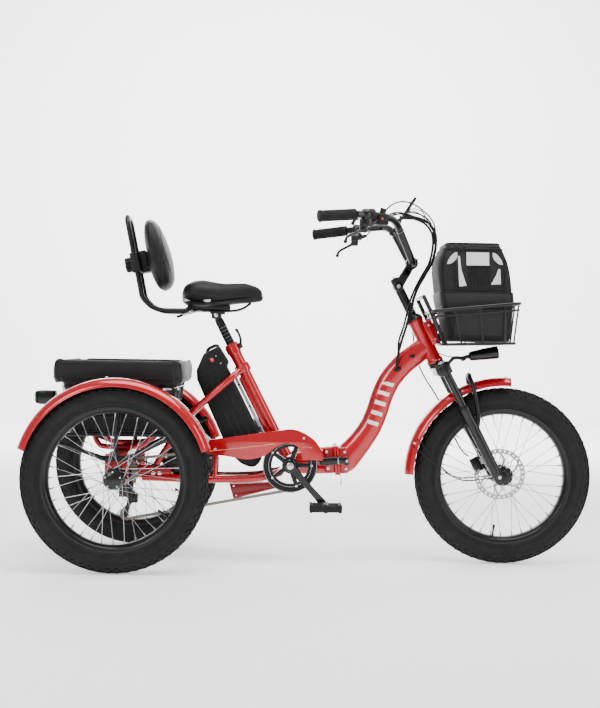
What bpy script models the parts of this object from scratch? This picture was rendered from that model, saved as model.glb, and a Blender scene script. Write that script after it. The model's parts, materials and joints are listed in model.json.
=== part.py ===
"""Folding electric tricycle with fat tyres, a rear basket, a front basket and a pet carrier.

Metres, +Z up, +X forwards, +Y to the rider's left. The origin lies on the ground at the middle
of the length and width. Every sub-part is one object, and a moving one has its origin on its joint.
"""
import math

import bmesh
import bpy
from mathutils import Matrix, Vector

# ---- driving dimensions -------------------------------------------------------------------
HALF_LENGTH = 0.866          # half of the overall length
WHEELBASE = 1.172
HALF_TRACK = 0.320           # centre plane to the middle of a rear tyre
TYRE_R = 0.274               # 20 x 3.0 tyre, loaded
TYRE_HALF_W = 0.0375
RIM_R = 0.209
RIM_BORE_R = 0.190
RAKE = math.radians(27.2)    # steering axis, from the vertical
FORK_OFFSET = 0.029          # front axle ahead of the steering axis
LEG_LENGTH = 0.410           # front axle to the foot of the head tube, along the axis
LEG_Y = 0.063                # fork leg, from the centre plane
LEG_F = 0.010                # fork leg, ahead of the steering axis
SEAT_LEAN = math.radians(27.25)
BB = Vector((-0.0708, 0.0, 0.3017))      # bottom bracket
CRANK_LEN = 0.160
CHAIN_Y = -0.086             # plane of the chain
CHAINRING_R = 0.0745
GAP = 0.0004                 # between neighbours that touch
RING_STEPS = 24              # facets round a wheel
SPOKES = 24

FRONT_AXLE = Vector((HALF_LENGTH - TYRE_R, 0.0, TYRE_R))
REAR_AXLE = Vector((FRONT_AXLE.x - WHEELBASE, 0.0, TYRE_R))
STEER_UP = Vector((-math.sin(RAKE), 0.0, math.cos(RAKE)))
STEER_FORE = Vector((math.cos(RAKE), 0.0, math.sin(RAKE)))
HEAD_FOOT = FRONT_AXLE - STEER_FORE * FORK_OFFSET + STEER_UP * LEG_LENGTH
SEAT_UP = Vector((-math.sin(SEAT_LEAN), 0.0, math.cos(SEAT_LEAN)))
SEAT_FORE = Vector((math.cos(SEAT_LEAN), 0.0, math.sin(SEAT_LEAN)))
HINGE_TILT = math.radians(5.2)
HINGE_UP = Vector((-math.sin(HINGE_TILT), 0.0, math.cos(HINGE_TILT)))
HINGE_PIN = Vector((0.0745, 0.050, 0.3145))
STEM_PIVOT_S = 0.262         # handlepost pivot, up the steering axis
POST_TOP_S = 0.291
ACROSS = Vector((0.0, 1.0, 0.0))

for old in list(bpy.data.objects):
    bpy.data.objects.remove(old, do_unlink=True)
PARTS = bpy.data.collections.new("folding_tricycle")
bpy.context.scene.collection.children.link(PARTS)


# ---- places -------------------------------------------------------------------------------
def steer(s, f=0.0, y=0.0):
    """A point s up the steering axis from the head tube's foot and f ahead of it."""
    return HEAD_FOOT + STEER_UP * s + STEER_FORE * f + ACROSS * y


def seat(s, f=0.0, y=0.0):
    """A point s up the seat tube's axis from the bottom bracket and f ahead of it."""
    return BB + SEAT_UP * s + SEAT_FORE * f + ACROSS * y


def hinge(s, f=0.0, y=0.0):
    """A point s up the fold hinge from the middle of its pin, f ahead of its plane."""
    return Vector((HINGE_PIN.x, y, HINGE_PIN.z)) + HINGE_UP * s + Vector((f, 0.0, 0.0))


def around(centre, radius, degrees, y=None):
    """A point on a circle in the XZ plane; 0 degrees is forwards, 90 is up."""
    a = math.radians(degrees)
    return Vector((centre.x + radius * math.cos(a), centre.y if y is None else y,
                   centre.z + radius * math.sin(a)))


def arc(centre, radius, start, end, steps, y=None):
    return [around(centre, radius, start + (end - start) * i / steps, y) for i in range(steps + 1)]


def smooth_path(points, per_span=4):
    """Catmull-Rom curve through the points."""
    pts = [Vector(p) for p in points]
    ends = [pts[0] * 2 - pts[1]] + pts + [pts[-1] * 2 - pts[-2]]
    out = []
    for i in range(1, len(ends) - 2):
        p0, p1, p2, p3 = ends[i - 1:i + 3]
        for k in range(per_span):
            t = k / per_span
            out.append(0.5 * ((2 * p1) + (p2 - p0) * t + (2 * p0 - 5 * p1 + 4 * p2 - p3) * t ** 2
                              + (3 * p1 - p0 - 3 * p2 + p3) * t ** 3))
    return out + [pts[-1]]


# ---- making solids ------------------------------------------------------------------------
def link(name, mesh):
    obj = bpy.data.objects.new(name, mesh)
    PARTS.objects.link(obj)
    return obj


def frozen(obj, weld=0.00001):
    """The object as one plain mesh in world space, with its caps welded."""
    bpy.context.view_layer.update()
    graph = bpy.context.evaluated_depsgraph_get()
    mesh = bpy.data.meshes.new_from_object(obj.evaluated_get(graph))
    mesh.transform(obj.matrix_world)
    bm = bmesh.new()
    bm.from_mesh(mesh)
    bmesh.ops.remove_doubles(bm, verts=bm.verts, dist=weld)
    bmesh.ops.dissolve_degenerate(bm, dist=weld, edges=bm.edges)
    bmesh.ops.recalc_face_normals(bm, faces=bm.faces)
    bm.to_mesh(mesh)
    bm.free()
    bpy.data.objects.remove(obj, do_unlink=True)
    return link("piece", mesh)


def frame_matrix(centre, x_axis, z_axis):
    x = Vector(x_axis).normalized()
    z = Vector(z_axis).normalized()
    y = z.cross(x).normalized()
    return Matrix.Translation(centre) @ Matrix((x, y, z)).transposed().to_4x4()


def box(size, centre, x_axis=(1, 0, 0), z_axis=(0, 0, 1)):
    bm = bmesh.new()
    bmesh.ops.create_cube(bm, size=1.0, matrix=Matrix.Diagonal((*size, 1.0)))
    mesh = bpy.data.meshes.new("box")
    bm.to_mesh(mesh)
    bm.free()
    mesh.transform(frame_matrix(Vector(centre), x_axis, z_axis))
    return link("box", mesh)


def rod(start, end, radius, sides=12, end_radius=None):
    start = Vector(start)
    end = Vector(end)
    span = end - start
    bm = bmesh.new()
    bmesh.ops.create_cone(bm, cap_ends=True, segments=sides, radius1=radius,
                          radius2=radius if end_radius is None else end_radius, depth=span.length)
    mesh = bpy.data.meshes.new("rod")
    bm.to_mesh(mesh)
    bm.free()
    mesh.transform(Matrix.Translation((start + end) / 2)
                   @ span.to_track_quat("Z", "Y").to_matrix().to_4x4())
    return link("rod", mesh)


def tube(points, radius, resolution=2, radii=None, closed=False):
    curve = bpy.data.curves.new("tube", "CURVE")
    curve.dimensions = "3D"
    curve.bevel_depth = radius
    curve.bevel_resolution = resolution
    curve.use_fill_caps = True
    spline = curve.splines.new("POLY")
    spline.points.add(len(points) - 1)
    for i, p in enumerate(points):
        spline.points[i].co = (*p, 1.0)
        spline.points[i].radius = radii[i] if radii else 1.0
    spline.use_cyclic_u = closed
    obj = bpy.data.objects.new("tube", curve)
    PARTS.objects.link(obj)
    return frozen(obj)


def plate(outline, thickness, y):
    """A flat outline in the XZ plane, its thickness centred on y."""
    curve = bpy.data.curves.new("plate", "CURVE")
    curve.dimensions = "2D"
    curve.fill_mode = "BOTH"
    curve.extrude = thickness / 2
    spline = curve.splines.new("POLY")
    spline.points.add(len(outline) - 1)
    for i, p in enumerate(outline):
        spline.points[i].co = (p[0], p[-1], 0.0, 1.0)
    spline.use_cyclic_u = True
    obj = bpy.data.objects.new("plate", curve)
    obj.matrix_world = Matrix.Translation((0.0, y, 0.0)) @ Matrix.Rotation(math.pi / 2, 4, "X")
    PARTS.objects.link(obj)
    return frozen(obj)


def turned(profile, centre, axis=ACROSS, steps=RING_STEPS, closed=False, start=0.0):
    """A profile of (radius, height along axis), turned about an axis through centre."""
    mesh = bpy.data.meshes.new("turned")
    count = len(profile)
    edges = [(i, i + 1) for i in range(count - 1)]
    if closed:
        edges.append((count - 1, 0))
    mesh.from_pydata([(r, 0.0, h) for r, h in profile], edges, [])
    obj = link("turned", mesh)
    screw = obj.modifiers.new("turn", "SCREW")
    screw.steps = steps
    screw.render_steps = steps
    screw.use_merge_vertices = True
    screw.merge_threshold = 0.00001
    x_axis = Vector((1, 0, 0)) if abs(Vector(axis).x) < 0.9 else Vector((0, 0, 1))
    x_axis = (x_axis - Vector(axis) * x_axis.dot(axis)).normalized()
    obj.matrix_world = (frame_matrix(Vector(centre), x_axis, axis)
                        @ Matrix.Rotation(math.radians(start), 4, "Z"))
    return frozen(obj)


def joined(first, *others, operation="UNION", solver="EXACT"):
    for other in others:
        other.hide_render = True
        other.display_type = "WIRE"
        mod = first.modifiers.new("join", "BOOLEAN")
        mod.operation = operation
        mod.solver = solver
        mod.object = other
    result = frozen(first, weld=0.000001)
    for other in others:
        bpy.data.objects.remove(other, do_unlink=True)
    return result


def cut(body, *cutters):
    return joined(body, *cutters, operation="DIFFERENCE")


def finish(obj, name, colour, roughness=0.5, metallic=0.0, pivot=None):
    """Name the part, give it its material, and put its origin on its joint."""
    obj.name = name
    obj.data.name = name
    mat = bpy.data.materials.new(name)
    mat.use_nodes = True
    shader = mat.node_tree.nodes["Principled BSDF"]
    shader.inputs["Base Color"].default_value = (*colour, 1.0)
    shader.inputs["Roughness"].default_value = roughness
    shader.inputs["Metallic"].default_value = metallic
    obj.data.materials.clear()
    obj.data.materials.append(mat)
    obj.data.set_sharp_from_angle(angle=math.radians(35))
    if pivot is not None:
        obj.data.transform(Matrix.Translation(-Vector(pivot)))
        obj.location = pivot
    return obj


RED = (0.55, 0.012, 0.02)
BLACK = (0.02, 0.02, 0.022)
RUBBER = (0.015, 0.015, 0.016)
STEEL = (0.6, 0.6, 0.62)
SILVER = (0.75, 0.75, 0.77)
FABRIC = (0.03, 0.03, 0.033)


# ---- wheels -------------------------------------------------------------------------------
def make_wheel(prefix, hub_name, centre, axle_in, axle_out, side):
    """Tyre, rim and spoked hub; side is the direction of +out along Y."""
    to_flat = 1.0 / math.cos(math.pi / RING_STEPS)
    turn = 180.0 / RING_STEPS
    half = TYRE_HALF_W
    tread = TYRE_R * to_flat
    seat_r = (RIM_R + GAP) * to_flat
    tyre = turned([(seat_r, 0.022), (RIM_R + 0.030, half), (TYRE_R - 0.013, half - 0.004),
                   (tread, half - 0.019), (tread, 0.019 - half), (TYRE_R - 0.013, 0.004 - half),
                   (RIM_R + 0.030, -half), (seat_r, -0.022)][::-1],
                  centre, closed=True, start=turn)
    finish(tyre, prefix + "_tyre", RUBBER, 0.8, pivot=centre)
    profile = [(RIM_R, -0.027), (RIM_R, 0.027), (RIM_BORE_R + 0.004, 0.024),
               (RIM_BORE_R, 0.010), (RIM_BORE_R, -0.010), (RIM_BORE_R + 0.004, -0.024)]
    rim = turned([(r * to_flat, y) for r, y in profile], centre, closed=True, start=turn)
    finish(rim, prefix + "_rim", BLACK, 0.35, 0.6, pivot=centre)
    out = ACROSS * side
    shell = [(0.0, axle_out), (0.008, axle_out), (0.009, 0.040), (0.030, 0.038), (0.033, 0.031),
             (0.022, 0.024), (0.020, -0.024), (0.031, -0.031), (0.030, -0.035), (0.010, -0.038),
             (0.008, -axle_in), (0.0, -axle_in)]
    hub = turned(shell, centre, out, steps=12)
    spokes = []
    for i in range(SPOKES):
        flange = 0.028 if i % 2 else -0.028
        angle = i * 360.0 / SPOKES
        spokes.append(rod(around(centre, 0.024, angle, centre.y + flange * side),
                          around(centre, RIM_BORE_R - GAP, angle, centre.y), 0.0013, 3))
    hub = joined(hub, *spokes)
    return finish(hub, hub_name, STEEL, 0.35, 0.8, pivot=centre)


make_wheel("front", "front_hub", FRONT_AXLE, 0.0505, 0.0505, 1.0)
for name, side in (("right", -1.0), ("left", 1.0)):
    make_wheel(name + "_rear", name + "_rear_hub",
               REAR_AXLE + ACROSS * (HALF_TRACK * side), 0.056, 0.046, side)

ROTOR_Y = 0.0415
rotor = turned([(0.080, 0.0009), (0.080, -0.0009), (0.036, -0.0009), (0.036, 0.0009)][::-1],
               FRONT_AXLE + ACROSS * ROTOR_Y, closed=True)
finish(rotor, "brake_rotor", SILVER, 0.3, 0.9, pivot=FRONT_AXLE)


# ---- front fork, on the steering axis ---------------------------------------------------------
crown = box((0.050, 2 * LEG_Y + 0.034, 0.034), steer(-0.029, 0.006), STEER_FORE, STEER_UP)
stanchions = [rod(steer(-0.020, LEG_F, y), steer(-0.240, LEG_F, y), 0.0127, 16)
              for y in (LEG_Y, -LEG_Y)]
crown_race = rod(steer(-0.020), steer(-0.0008), 0.023, 20)
lamp_arm = tube([steer(-0.028, 0.026), steer(-0.014, 0.052), steer(-0.026, 0.076)], 0.006, 1)
lamp_fork = box((0.016, 0.022, 0.014), steer(-0.030, 0.084), STEER_FORE, STEER_UP)
fork_crown = joined(crown, crown_race, lamp_arm, lamp_fork, *stanchions)
finish(fork_crown, "fork_crown", BLACK, 0.35, 0.4, pivot=HEAD_FOOT)

ARCH = [(-0.245, 0.012, LEG_Y), (-0.200, 0.040, LEG_Y), (-0.125, 0.064, 0.052),
        (-0.090, 0.072, 0.024), (-0.083, 0.075, 0.0)]


def make_fork_lowers():
    legs = []
    for side in (1.0, -1.0):
        y = LEG_Y * side
        legs.append(rod(steer(-0.165, LEG_F, y), steer(-0.425, LEG_F, y), 0.0160, 16))
        legs.append(box((0.036, 0.006, 0.034), steer(-LEG_LENGTH, 0.022, 0.0545 * side),
                        STEER_FORE, STEER_UP))
    half = [steer(s, f, y) for s, f, y in ARCH]
    other = [steer(s, f, -y) for s, f, y in ARCH[:-1]]
    arch = tube(smooth_path(half + other[::-1], 3), 0.0075, 2)
    bores = [rod(steer(-0.160, LEG_F, y), steer(-0.285, LEG_F, y), 0.0135, 16)
             for y in (LEG_Y, -LEG_Y)]
    return cut(joined(legs[0], arch, *legs[1:]), *bores)


finish(make_fork_lowers(), "fork_lowers", BLACK, 0.35, 0.3, pivot=steer(-0.165, LEG_F))

caliper = cut(box((0.034, 0.0115, 0.050), steer(-0.352, -0.021, 0.0403), STEER_FORE, STEER_UP),
              rod(FRONT_AXLE + ACROSS * (ROTOR_Y - 0.0017), FRONT_AXLE + ACROSS * (ROTOR_Y + 0.0017),
                  0.083, 32))
finish(caliper, "brake_caliper", BLACK, 0.4, 0.3, pivot=steer(-0.352, -0.021, 0.04))


def fender_shell(centre, outer_r, half_width, start, end, steps):
    """A crowned mudguard round a wheel, open underneath; angles from forwards, over the top."""
    drop = [(0.016, half_width), (0.0, half_width * 0.72), (0.0, -half_width * 0.72),
            (0.016, -half_width)]
    skin = 0.003
    outside = [(outer_r - d, y) for d, y in drop]
    inside = [(outer_r - d - skin, y * (1 - skin / half_width)) for d, y in drop]
    inside[0] = (outside[0][0], inside[0][1])
    inside[-1] = (outside[-1][0], inside[-1][1])
    bm = bmesh.new()
    rings = []
    for i in range(steps + 1):
        angle = start + (end - start) * i / steps
        rings.append([bm.verts.new(around(centre, r, angle, centre.y + y))
                      for r, y in outside + inside[::-1]])
    for low, high in zip(rings, rings[1:]):
        for k in range(len(low)):
            after = (k + 1) % len(low)
            bm.faces.new((low[k], low[after], high[after], high[k]))
    width = len(drop)
    for ring in (rings[0], rings[-1]):
        for k in range(width - 1):
            bm.faces.new((ring[k], ring[k + 1], ring[2 * width - 2 - k], ring[2 * width - 1 - k]))
    bmesh.ops.recalc_face_normals(bm, faces=bm.faces)
    mesh = bpy.data.meshes.new("fender")
    bm.to_mesh(mesh)
    bm.free()
    return link("fender", mesh)


FRONT_FENDER_R = 0.306
REAR_FENDER_R = 0.293
front_fender = fender_shell(FRONT_AXLE, FRONT_FENDER_R, 0.0425, 86.0, 180.0, 10)
front_stays = [tube([around(FRONT_AXLE, 0.2960, 163.0, 0.0400 * side),
                     around(FRONT_AXLE, 0.2860, 163.2, 0.0425 * side),
                     around(FRONT_AXLE, 0.150, 184.0, 0.0445 * side),
                     around(FRONT_AXLE, 0.050, 190.0, 0.0448 * side),
                     around(FRONT_AXLE, 0.040, 190.0, 0.0448 * side)], 0.0014, 0)
               for side in (1.0, -1.0)]
front_fender = joined(front_fender, *front_stays)
finish(front_fender, "front_fender", RED, 0.25, pivot=steer(-0.1, 0.06))


def make_rear_fender(name, side):
    centre = REAR_AXLE + ACROSS * (HALF_TRACK * side)
    shell = fender_shell(centre, REAR_FENDER_R, 0.0455, 18.0, 163.0, 14)
    foot_y = 0.2700 * side
    bar = box((0.080, 0.004, 0.016), Vector((-0.584, foot_y, 0.3290)))
    stays = [rod(Vector((x, foot_y, 0.3260)), around(centre, 0.281, angle, 0.2758 * side), 0.0036, 6)
             for x, angle in ((-0.612, 153.0), (-0.584, 90.0), (-0.556, 33.0))]
    shell = joined(shell, bar, *stays)
    finish(shell, name + "_rear_fender", RED, 0.25)


make_rear_fender("right", -1.0)
make_rear_fender("left", 1.0)


# ---- front frame half ----------------------------------------------------------------------
# x, z and radius along the curved front tube
S_LINE = [(0.0860, 0.3150, 0.0420), (0.0990, 0.3165, 0.0430), (0.1180, 0.3360, 0.0410),
          (0.1480, 0.3720, 0.0370), (0.1780, 0.4170, 0.0350), (0.1990, 0.4670, 0.0345),
          (0.2150, 0.5180, 0.0345), (0.2390, 0.5690, 0.0350), (0.2740, 0.6120, 0.0350),
          (0.3130, 0.6450, 0.0340), (0.3420, 0.6680, 0.0330)]
FRAME_FLATNESS = 0.66


def make_front_frame():
    path = [(x, 0.0, z) for x, z, _ in S_LINE]
    sizes = [r for _, _, r in S_LINE]
    spine = tube(path, 1.0, 2, radii=sizes)
    spine.data.transform(Matrix.Diagonal((1.0, FRAME_FLATNESS, 1.0, 1.0)))
    head = rod(steer(0.0), steer(0.145), 0.0225, 20)
    flange = box((0.008, 0.0785, 0.092), hinge(0.0, 0.0042, 0.0003), (1, 0, 0), HINGE_UP)
    socket = box((0.030, 0.052, 0.086), hinge(0.0, 0.0190), (1, 0, 0), HINGE_UP)
    knuckle = rod(hinge(-0.0140, 0.0, HINGE_PIN.y), hinge(0.0140, 0.0, HINGE_PIN.y), 0.0100, 16)
    web = box((0.0076, 0.020, 0.0260), hinge(0.0, 0.0044, 0.0400), (1, 0, 0), HINGE_UP)
    lug = box((0.012, 0.012, 0.026), hinge(0.0, 0.0300, -0.0310), (1, 0, 0), HINGE_UP)
    bracket = box((0.030, 0.044, 0.080), steer(0.088, 0.0290), STEER_FORE, STEER_UP)
    solid = joined(spine, head, flange, socket, knuckle, web, lug, bracket, solver="MANIFOLD")
    pin_bore = rod(hinge(-0.030, 0.0, HINGE_PIN.y), hinge(0.030, 0.0, HINGE_PIN.y), 0.0048, 12)
    steerer_bore = rod(steer(-0.02), steer(0.165), 0.0150, 16)
    return cut(solid, pin_bore, steerer_bore)


finish(make_front_frame(), "front_frame", RED, 0.25, pivot=HINGE_PIN)

LATCH_PIVOT = hinge(0.0, 0.0300, -0.0455)
latch = joined(box((0.089, 0.011, 0.026), hinge(-0.0010, -0.0100, -0.0455), (1, 0, 0.06), HINGE_UP),
               rod(hinge(-0.0135, 0.0300, -0.0455), hinge(0.0115, 0.0300, -0.0455), 0.0065, 12))
finish(latch, "fold_latch", BLACK, 0.3, pivot=LATCH_PIVOT)


# ---- rear frame half -----------------------------------------------------------------------
def make_main_beam():
    shell = rod(BB + ACROSS * 0.034, BB - ACROSS * 0.034, 0.0225, 20)
    beam = tube([(-0.0650, 0.0, 0.3060), (-0.0200, 0.0, 0.3090), (0.0450, 0.0, 0.3130)], 1.0, 3,
                radii=[0.036, 0.040, 0.043])
    beam.data.transform(Matrix.Diagonal((1.0, 0.58, 1.0, 1.0)))
    socket = box((0.036, 0.052, 0.086), hinge(0.0, -0.0210), (1, 0, 0), HINGE_UP)
    flange = box((0.0078, 0.0785, 0.092), hinge(0.0, -0.0043, 0.0003), (1, 0, 0), HINGE_UP)
    pieces = []
    for low, high in ((-0.0450, -0.0156), (0.0156, 0.0450)):
        pieces.append(rod(hinge(low, 0.0, HINGE_PIN.y), hinge(high, 0.0, HINGE_PIN.y), 0.0100, 16))
        pieces.append(box((0.0074, 0.020, high - low), hinge((low + high) / 2, -0.0045, 0.0400),
                          (1, 0, 0), HINGE_UP))
    pin = rod(hinge(-0.0470, 0.0, HINGE_PIN.y), hinge(0.0470, 0.0, HINGE_PIN.y), 0.0040, 12)
    bore = rod(BB + ACROSS * 0.05, BB - ACROSS * 0.05, 0.0105, 16)
    clear = rod(hinge(-0.0155, 0.0, HINGE_PIN.y), hinge(0.0155, 0.0, HINGE_PIN.y), 0.0108, 16)
    solid = joined(shell, beam, socket, flange)
    solid = cut(solid, clear)
    solid = joined(solid, *pieces, pin)
    return cut(solid, bore)


SEAT_TUBE_TOP = 0.412
finish(make_main_beam(), "main_beam", RED, 0.25)

seat_tube = joined(rod(seat(0.0243), seat(SEAT_TUBE_TOP), 0.0185, 20),
                   rod(seat(SEAT_TUBE_TOP - 0.030), seat(SEAT_TUBE_TOP + 0.004), 0.0205, 20),
                   box((0.018, 0.026, 0.215), seat(0.200, -0.0172), SEAT_FORE, SEAT_UP))
seat_tube = cut(seat_tube, rod(seat(0.16), seat(0.45), 0.0142, 20),
                rod(BB + ACROSS * 0.06, BB - ACROSS * 0.06, 0.0232, 20),
                box((0.16, 0.08, 0.110), Vector((0.0115, 0.0, 0.3100))))
finish(seat_tube, "seat_tube", RED, 0.25)

STAY_Y = 0.0665
seat_stays = []
for stay_side in (1.0, -1.0):
    stay = [(-0.2230, 0.0200, 0.5960), (-0.2400, 0.0480, 0.5806), (-0.2620, 0.0620, 0.5604),
            (-0.3000, STAY_Y, 0.5257), (-0.3740, STAY_Y, 0.4581), (-0.4200, STAY_Y, 0.3950),
            (-0.4560, STAY_Y, 0.3400), (-0.4820, STAY_Y, 0.2960)]
    seat_stays.append(tube(smooth_path([(x, y * stay_side, z) for x, y, z in stay], 1), 0.0105, 1))
STAY_YOKE = seat(0.331, 0.0)
yoke = cut(rod(STAY_YOKE - SEAT_UP * 0.013, STAY_YOKE + SEAT_UP * 0.013, 0.0245, 20),
           rod(STAY_YOKE - SEAT_UP * 0.03, STAY_YOKE + SEAT_UP * 0.03, 0.0191, 20))
seat_stays = cut(joined(yoke, *seat_stays),
                 rod(STAY_YOKE - SEAT_UP * 0.05, STAY_YOKE + SEAT_UP * 0.05, 0.0191, 20))
finish(seat_stays, "seat_stays", RED, 0.25)


def make_rear_subframe():
    solids = []
    for side in (1.0, -1.0):
        line = [(-0.1000, 0.0480 * side, 0.2760), (-0.1700, 0.0620 * side, 0.2600),
                (-0.3226, STAY_Y * side, 0.2540), (-0.5250, STAY_Y * side, 0.2580)]
        solids.append(tube(smooth_path(line, 2), 0.0120, 1))
        solids.append(box((0.170, 0.006, 0.030), (-0.5200, STAY_Y * side, 0.2700)))
        solids.append(box((0.070, 0.018, 0.090), (-0.5820, 0.2480 * side, 0.2950)))
        solids.append(box((0.050, 0.008, 0.120), (-0.5820, STAY_Y * side, 0.2850)))
    bridge = rod((-0.1000, 0.052, 0.2760), (-0.1000, -0.052, 0.2760), 0.0100, 12)
    cross = box((0.050, 0.510, 0.020), (-0.5820, 0.0, 0.3340))
    housings = [rod((REAR_AXLE.x, y0, REAR_AXLE.z), (REAR_AXLE.x, y1, REAR_AXLE.z), 0.0200, 16)
                for y0, y1 in ((-0.0640, 0.2600), (-0.1120, -0.2600))]
    hanger = box((0.040, 0.006, 0.140), (-0.5750, -0.1160, 0.2700))
    return joined(cross, bridge, hanger, *housings, *solids, solver="MANIFOLD")


finish(make_rear_subframe(), "rear_subframe", RED, 0.3)

RACK_Z = 0.3935


def make_rack():
    rods = [rod((-0.7400, y, RACK_Z), (-0.4370, y, RACK_Z), 0.0050, 6)
            for y in (-0.205, -0.110, 0.0, 0.110, 0.205)]
    rods += [rod((x, -0.210, RACK_Z), (x, 0.210, RACK_Z), 0.0046, 6)
             for x in (-0.735, -0.640, -0.530, -0.442)]
    for y in (0.120, -0.120):
        hoop = [(-0.6680, y, 0.3920), (-0.6550, y, 0.3640), (-0.6330, y, 0.3535),
                (-0.5560, y, 0.3535), (-0.5120, y, 0.3660), (-0.4940, y, 0.3920)]
        rods.append(tube(smooth_path(hoop, 1), 0.0085, 1))
    return joined(*rods, solver="MANIFOLD")


finish(make_rack(), "rack_frame", RED, 0.3)


# ---- rear basket and its fabric liner -----------------------------------------------------------
def open_tub(low, high, wall, floor, taper=0.0):
    """A box open at the top; taper draws the floor in from the rim."""
    bm = bmesh.new()

    def ring(inset, z, draw):
        x0, y0 = low[0] + inset + draw, low[1] + inset + draw
        x1, y1 = high[0] - inset - draw, high[1] - inset - draw
        return [bm.verts.new((x, y, z)) for x, y in ((x0, y0), (x1, y0), (x1, y1), (x0, y1))]

    rings = [ring(0.0, low[2], taper), ring(0.0, high[2], 0.0), ring(wall, high[2], 0.0),
             ring(wall, low[2] + floor, taper)]
    for below, above in zip(rings, rings[1:]):
        for k in range(4):
            bm.faces.new((below[k], below[(k + 1) % 4], above[(k + 1) % 4], above[k]))
    bm.faces.new(rings[0])
    bm.faces.new(rings[-1])
    bmesh.ops.recalc_face_normals(bm, faces=bm.faces)
    mesh = bpy.data.meshes.new("tub")
    bm.to_mesh(mesh)
    bm.free()
    return link("tub", mesh)


BASKET_LOW = Vector((-0.768, -0.245, 0.4000))
BASKET_HIGH = Vector((-0.404, 0.245, 0.6080))
BASKET_TAPER = 0.034
rear_basket = open_tub(BASKET_LOW, BASKET_HIGH, 0.004, 0.004, BASKET_TAPER)
finish(rear_basket, "rear_basket", BLACK, 0.5)

LINER_WALL = 0.004
liner_in = open_tub(BASKET_LOW + Vector((0.005, 0.005, 0.0045)),
                    BASKET_HIGH + Vector((-0.005, -0.005, 0.0120)), LINER_WALL, LINER_WALL,
                    BASKET_TAPER)
cuff = open_tub(BASKET_LOW + Vector((-0.009, -0.009, 0.1500)),
                BASKET_HIGH + Vector((0.009, 0.009, 0.0120)), 0.022, 0.001)
cuff = cut(cuff, box((0.366, 0.492, 0.300), (-0.586, 0.0, 0.4590)),
           box((0.340, 0.466, 0.300), (-0.586, 0.0, 0.5500)))
finish(joined(liner_in, cuff), "basket_liner", FABRIC, 0.9)

TAIL_Z = 0.497
tail_light = joined(box((0.064, 0.090, 0.044), (0.032 - HALF_LENGTH, 0.0, TAIL_Z)),
                    box((0.070, 0.030, 0.010), (-0.7840, 0.0, TAIL_Z - 0.014)))
finish(tail_light, "tail_light", BLACK, 0.3)


# ---- drive ----------------------------------------------------------------------------------
MOTOR = Vector((-0.3850, 0.0, 0.3180))
motor = turned([(0.0, 0.048), (0.070, 0.046), (0.084, 0.034), (0.084, -0.034), (0.070, -0.046),
                (0.0, -0.048)], MOTOR, steps=24)
motor = joined(motor, rod(MOTOR + ACROSS * 0.0500, MOTOR - ACROSS * 0.0500, 0.010, 12))
finish(motor, "drive_motor", BLACK, 0.4, 0.4)

ARM_DIRECTION = Vector((0.1080, 0.0, -0.1192)).normalized()
RIGHT_PEDAL = BB + ARM_DIRECTION * CRANK_LEN
LEFT_PEDAL = BB - ARM_DIRECTION * CRANK_LEN


def crank_arm(end, inner_y, outer_y):
    side = 1.0 if outer_y > 0 else -1.0
    middle = (inner_y + outer_y) / 2
    along = (end - BB).normalized()
    width = abs(outer_y - inner_y)
    arm = box((CRANK_LEN, width, 0.020), (BB + end) / 2 + ACROSS * middle, along,
              along.cross(ACROSS) * side)
    bosses = [rod(at + ACROSS * (inner_y - 0.0005 * side), at + ACROSS * (outer_y + 0.0005 * side),
                  radius, 12) for at, radius in ((BB, 0.0190), (end, 0.0135))]
    return joined(arm, *bosses, solver="MANIFOLD")


chainring = rod(BB + ACROSS * (CHAIN_Y + 0.0015), BB + ACROSS * (CHAIN_Y - 0.0015),
                CHAINRING_R - 0.0042, 24)
guard_ring = rod(BB + ACROSS * (CHAIN_Y - 0.0053), BB + ACROSS * (CHAIN_Y - 0.0073), 0.0825, 24)
spindle = rod(BB + ACROSS * 0.0860, BB - ACROSS * 0.1040, 0.0100, 12)
spacer = rod(BB + ACROSS * (CHAIN_Y + 0.004), BB - ACROSS * 0.1030, 0.0300, 16)
crankset = joined(chainring, guard_ring, spindle, spacer, crank_arm(RIGHT_PEDAL, -0.1025, -0.1180),
                  crank_arm(LEFT_PEDAL, 0.0855, 0.1010), solver="MANIFOLD")
finish(crankset, "crankset", BLACK, 0.35, 0.5, pivot=BB)


def make_pedal(name, spindle_end, inner_y, side):
    middle = spindle_end + ACROSS * (inner_y + 0.053 * side)
    body = box((0.098, 0.092, 0.026), middle)
    slots = [box((0.030, 0.066, 0.05), middle + Vector((x, 0.0, 0.0))) for x in (-0.028, 0.028)]
    body = joined(cut(body, *slots),
                  rod(spindle_end + ACROSS * (inner_y + GAP * side), middle, 0.0075, 10))
    finish(body, name + "_pedal", BLACK, 0.5, pivot=spindle_end)


make_pedal("right", RIGHT_PEDAL, -0.1188, -1.0)
make_pedal("left", LEFT_PEDAL, 0.1018, 1.0)

COG_R = 0.0360
cassette = turned([(0.022, 0.014), (0.044, 0.014), (0.044, 0.006), (COG_R - 0.0042, 0.006),
                   (COG_R - 0.0042, -0.0020), (0.026, -0.004), (0.024, -0.014), (0.022, -0.014)],
                  REAR_AXLE + ACROSS * CHAIN_Y, closed=True, steps=24)
cassette = cut(cassette, rod(REAR_AXLE - ACROSS * 0.2, REAR_AXLE + ACROSS * 0.2, 0.0205, 16))
finish(cassette, "cassette", STEEL, 0.35, 0.8, pivot=REAR_AXLE)

UPPER_PULLEY = Vector((-0.5560, CHAIN_Y, 0.1990))
LOWER_PULLEY = Vector((-0.5720, CHAIN_Y, 0.1450))
PULLEY_PATH_R = 0.0150


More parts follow.
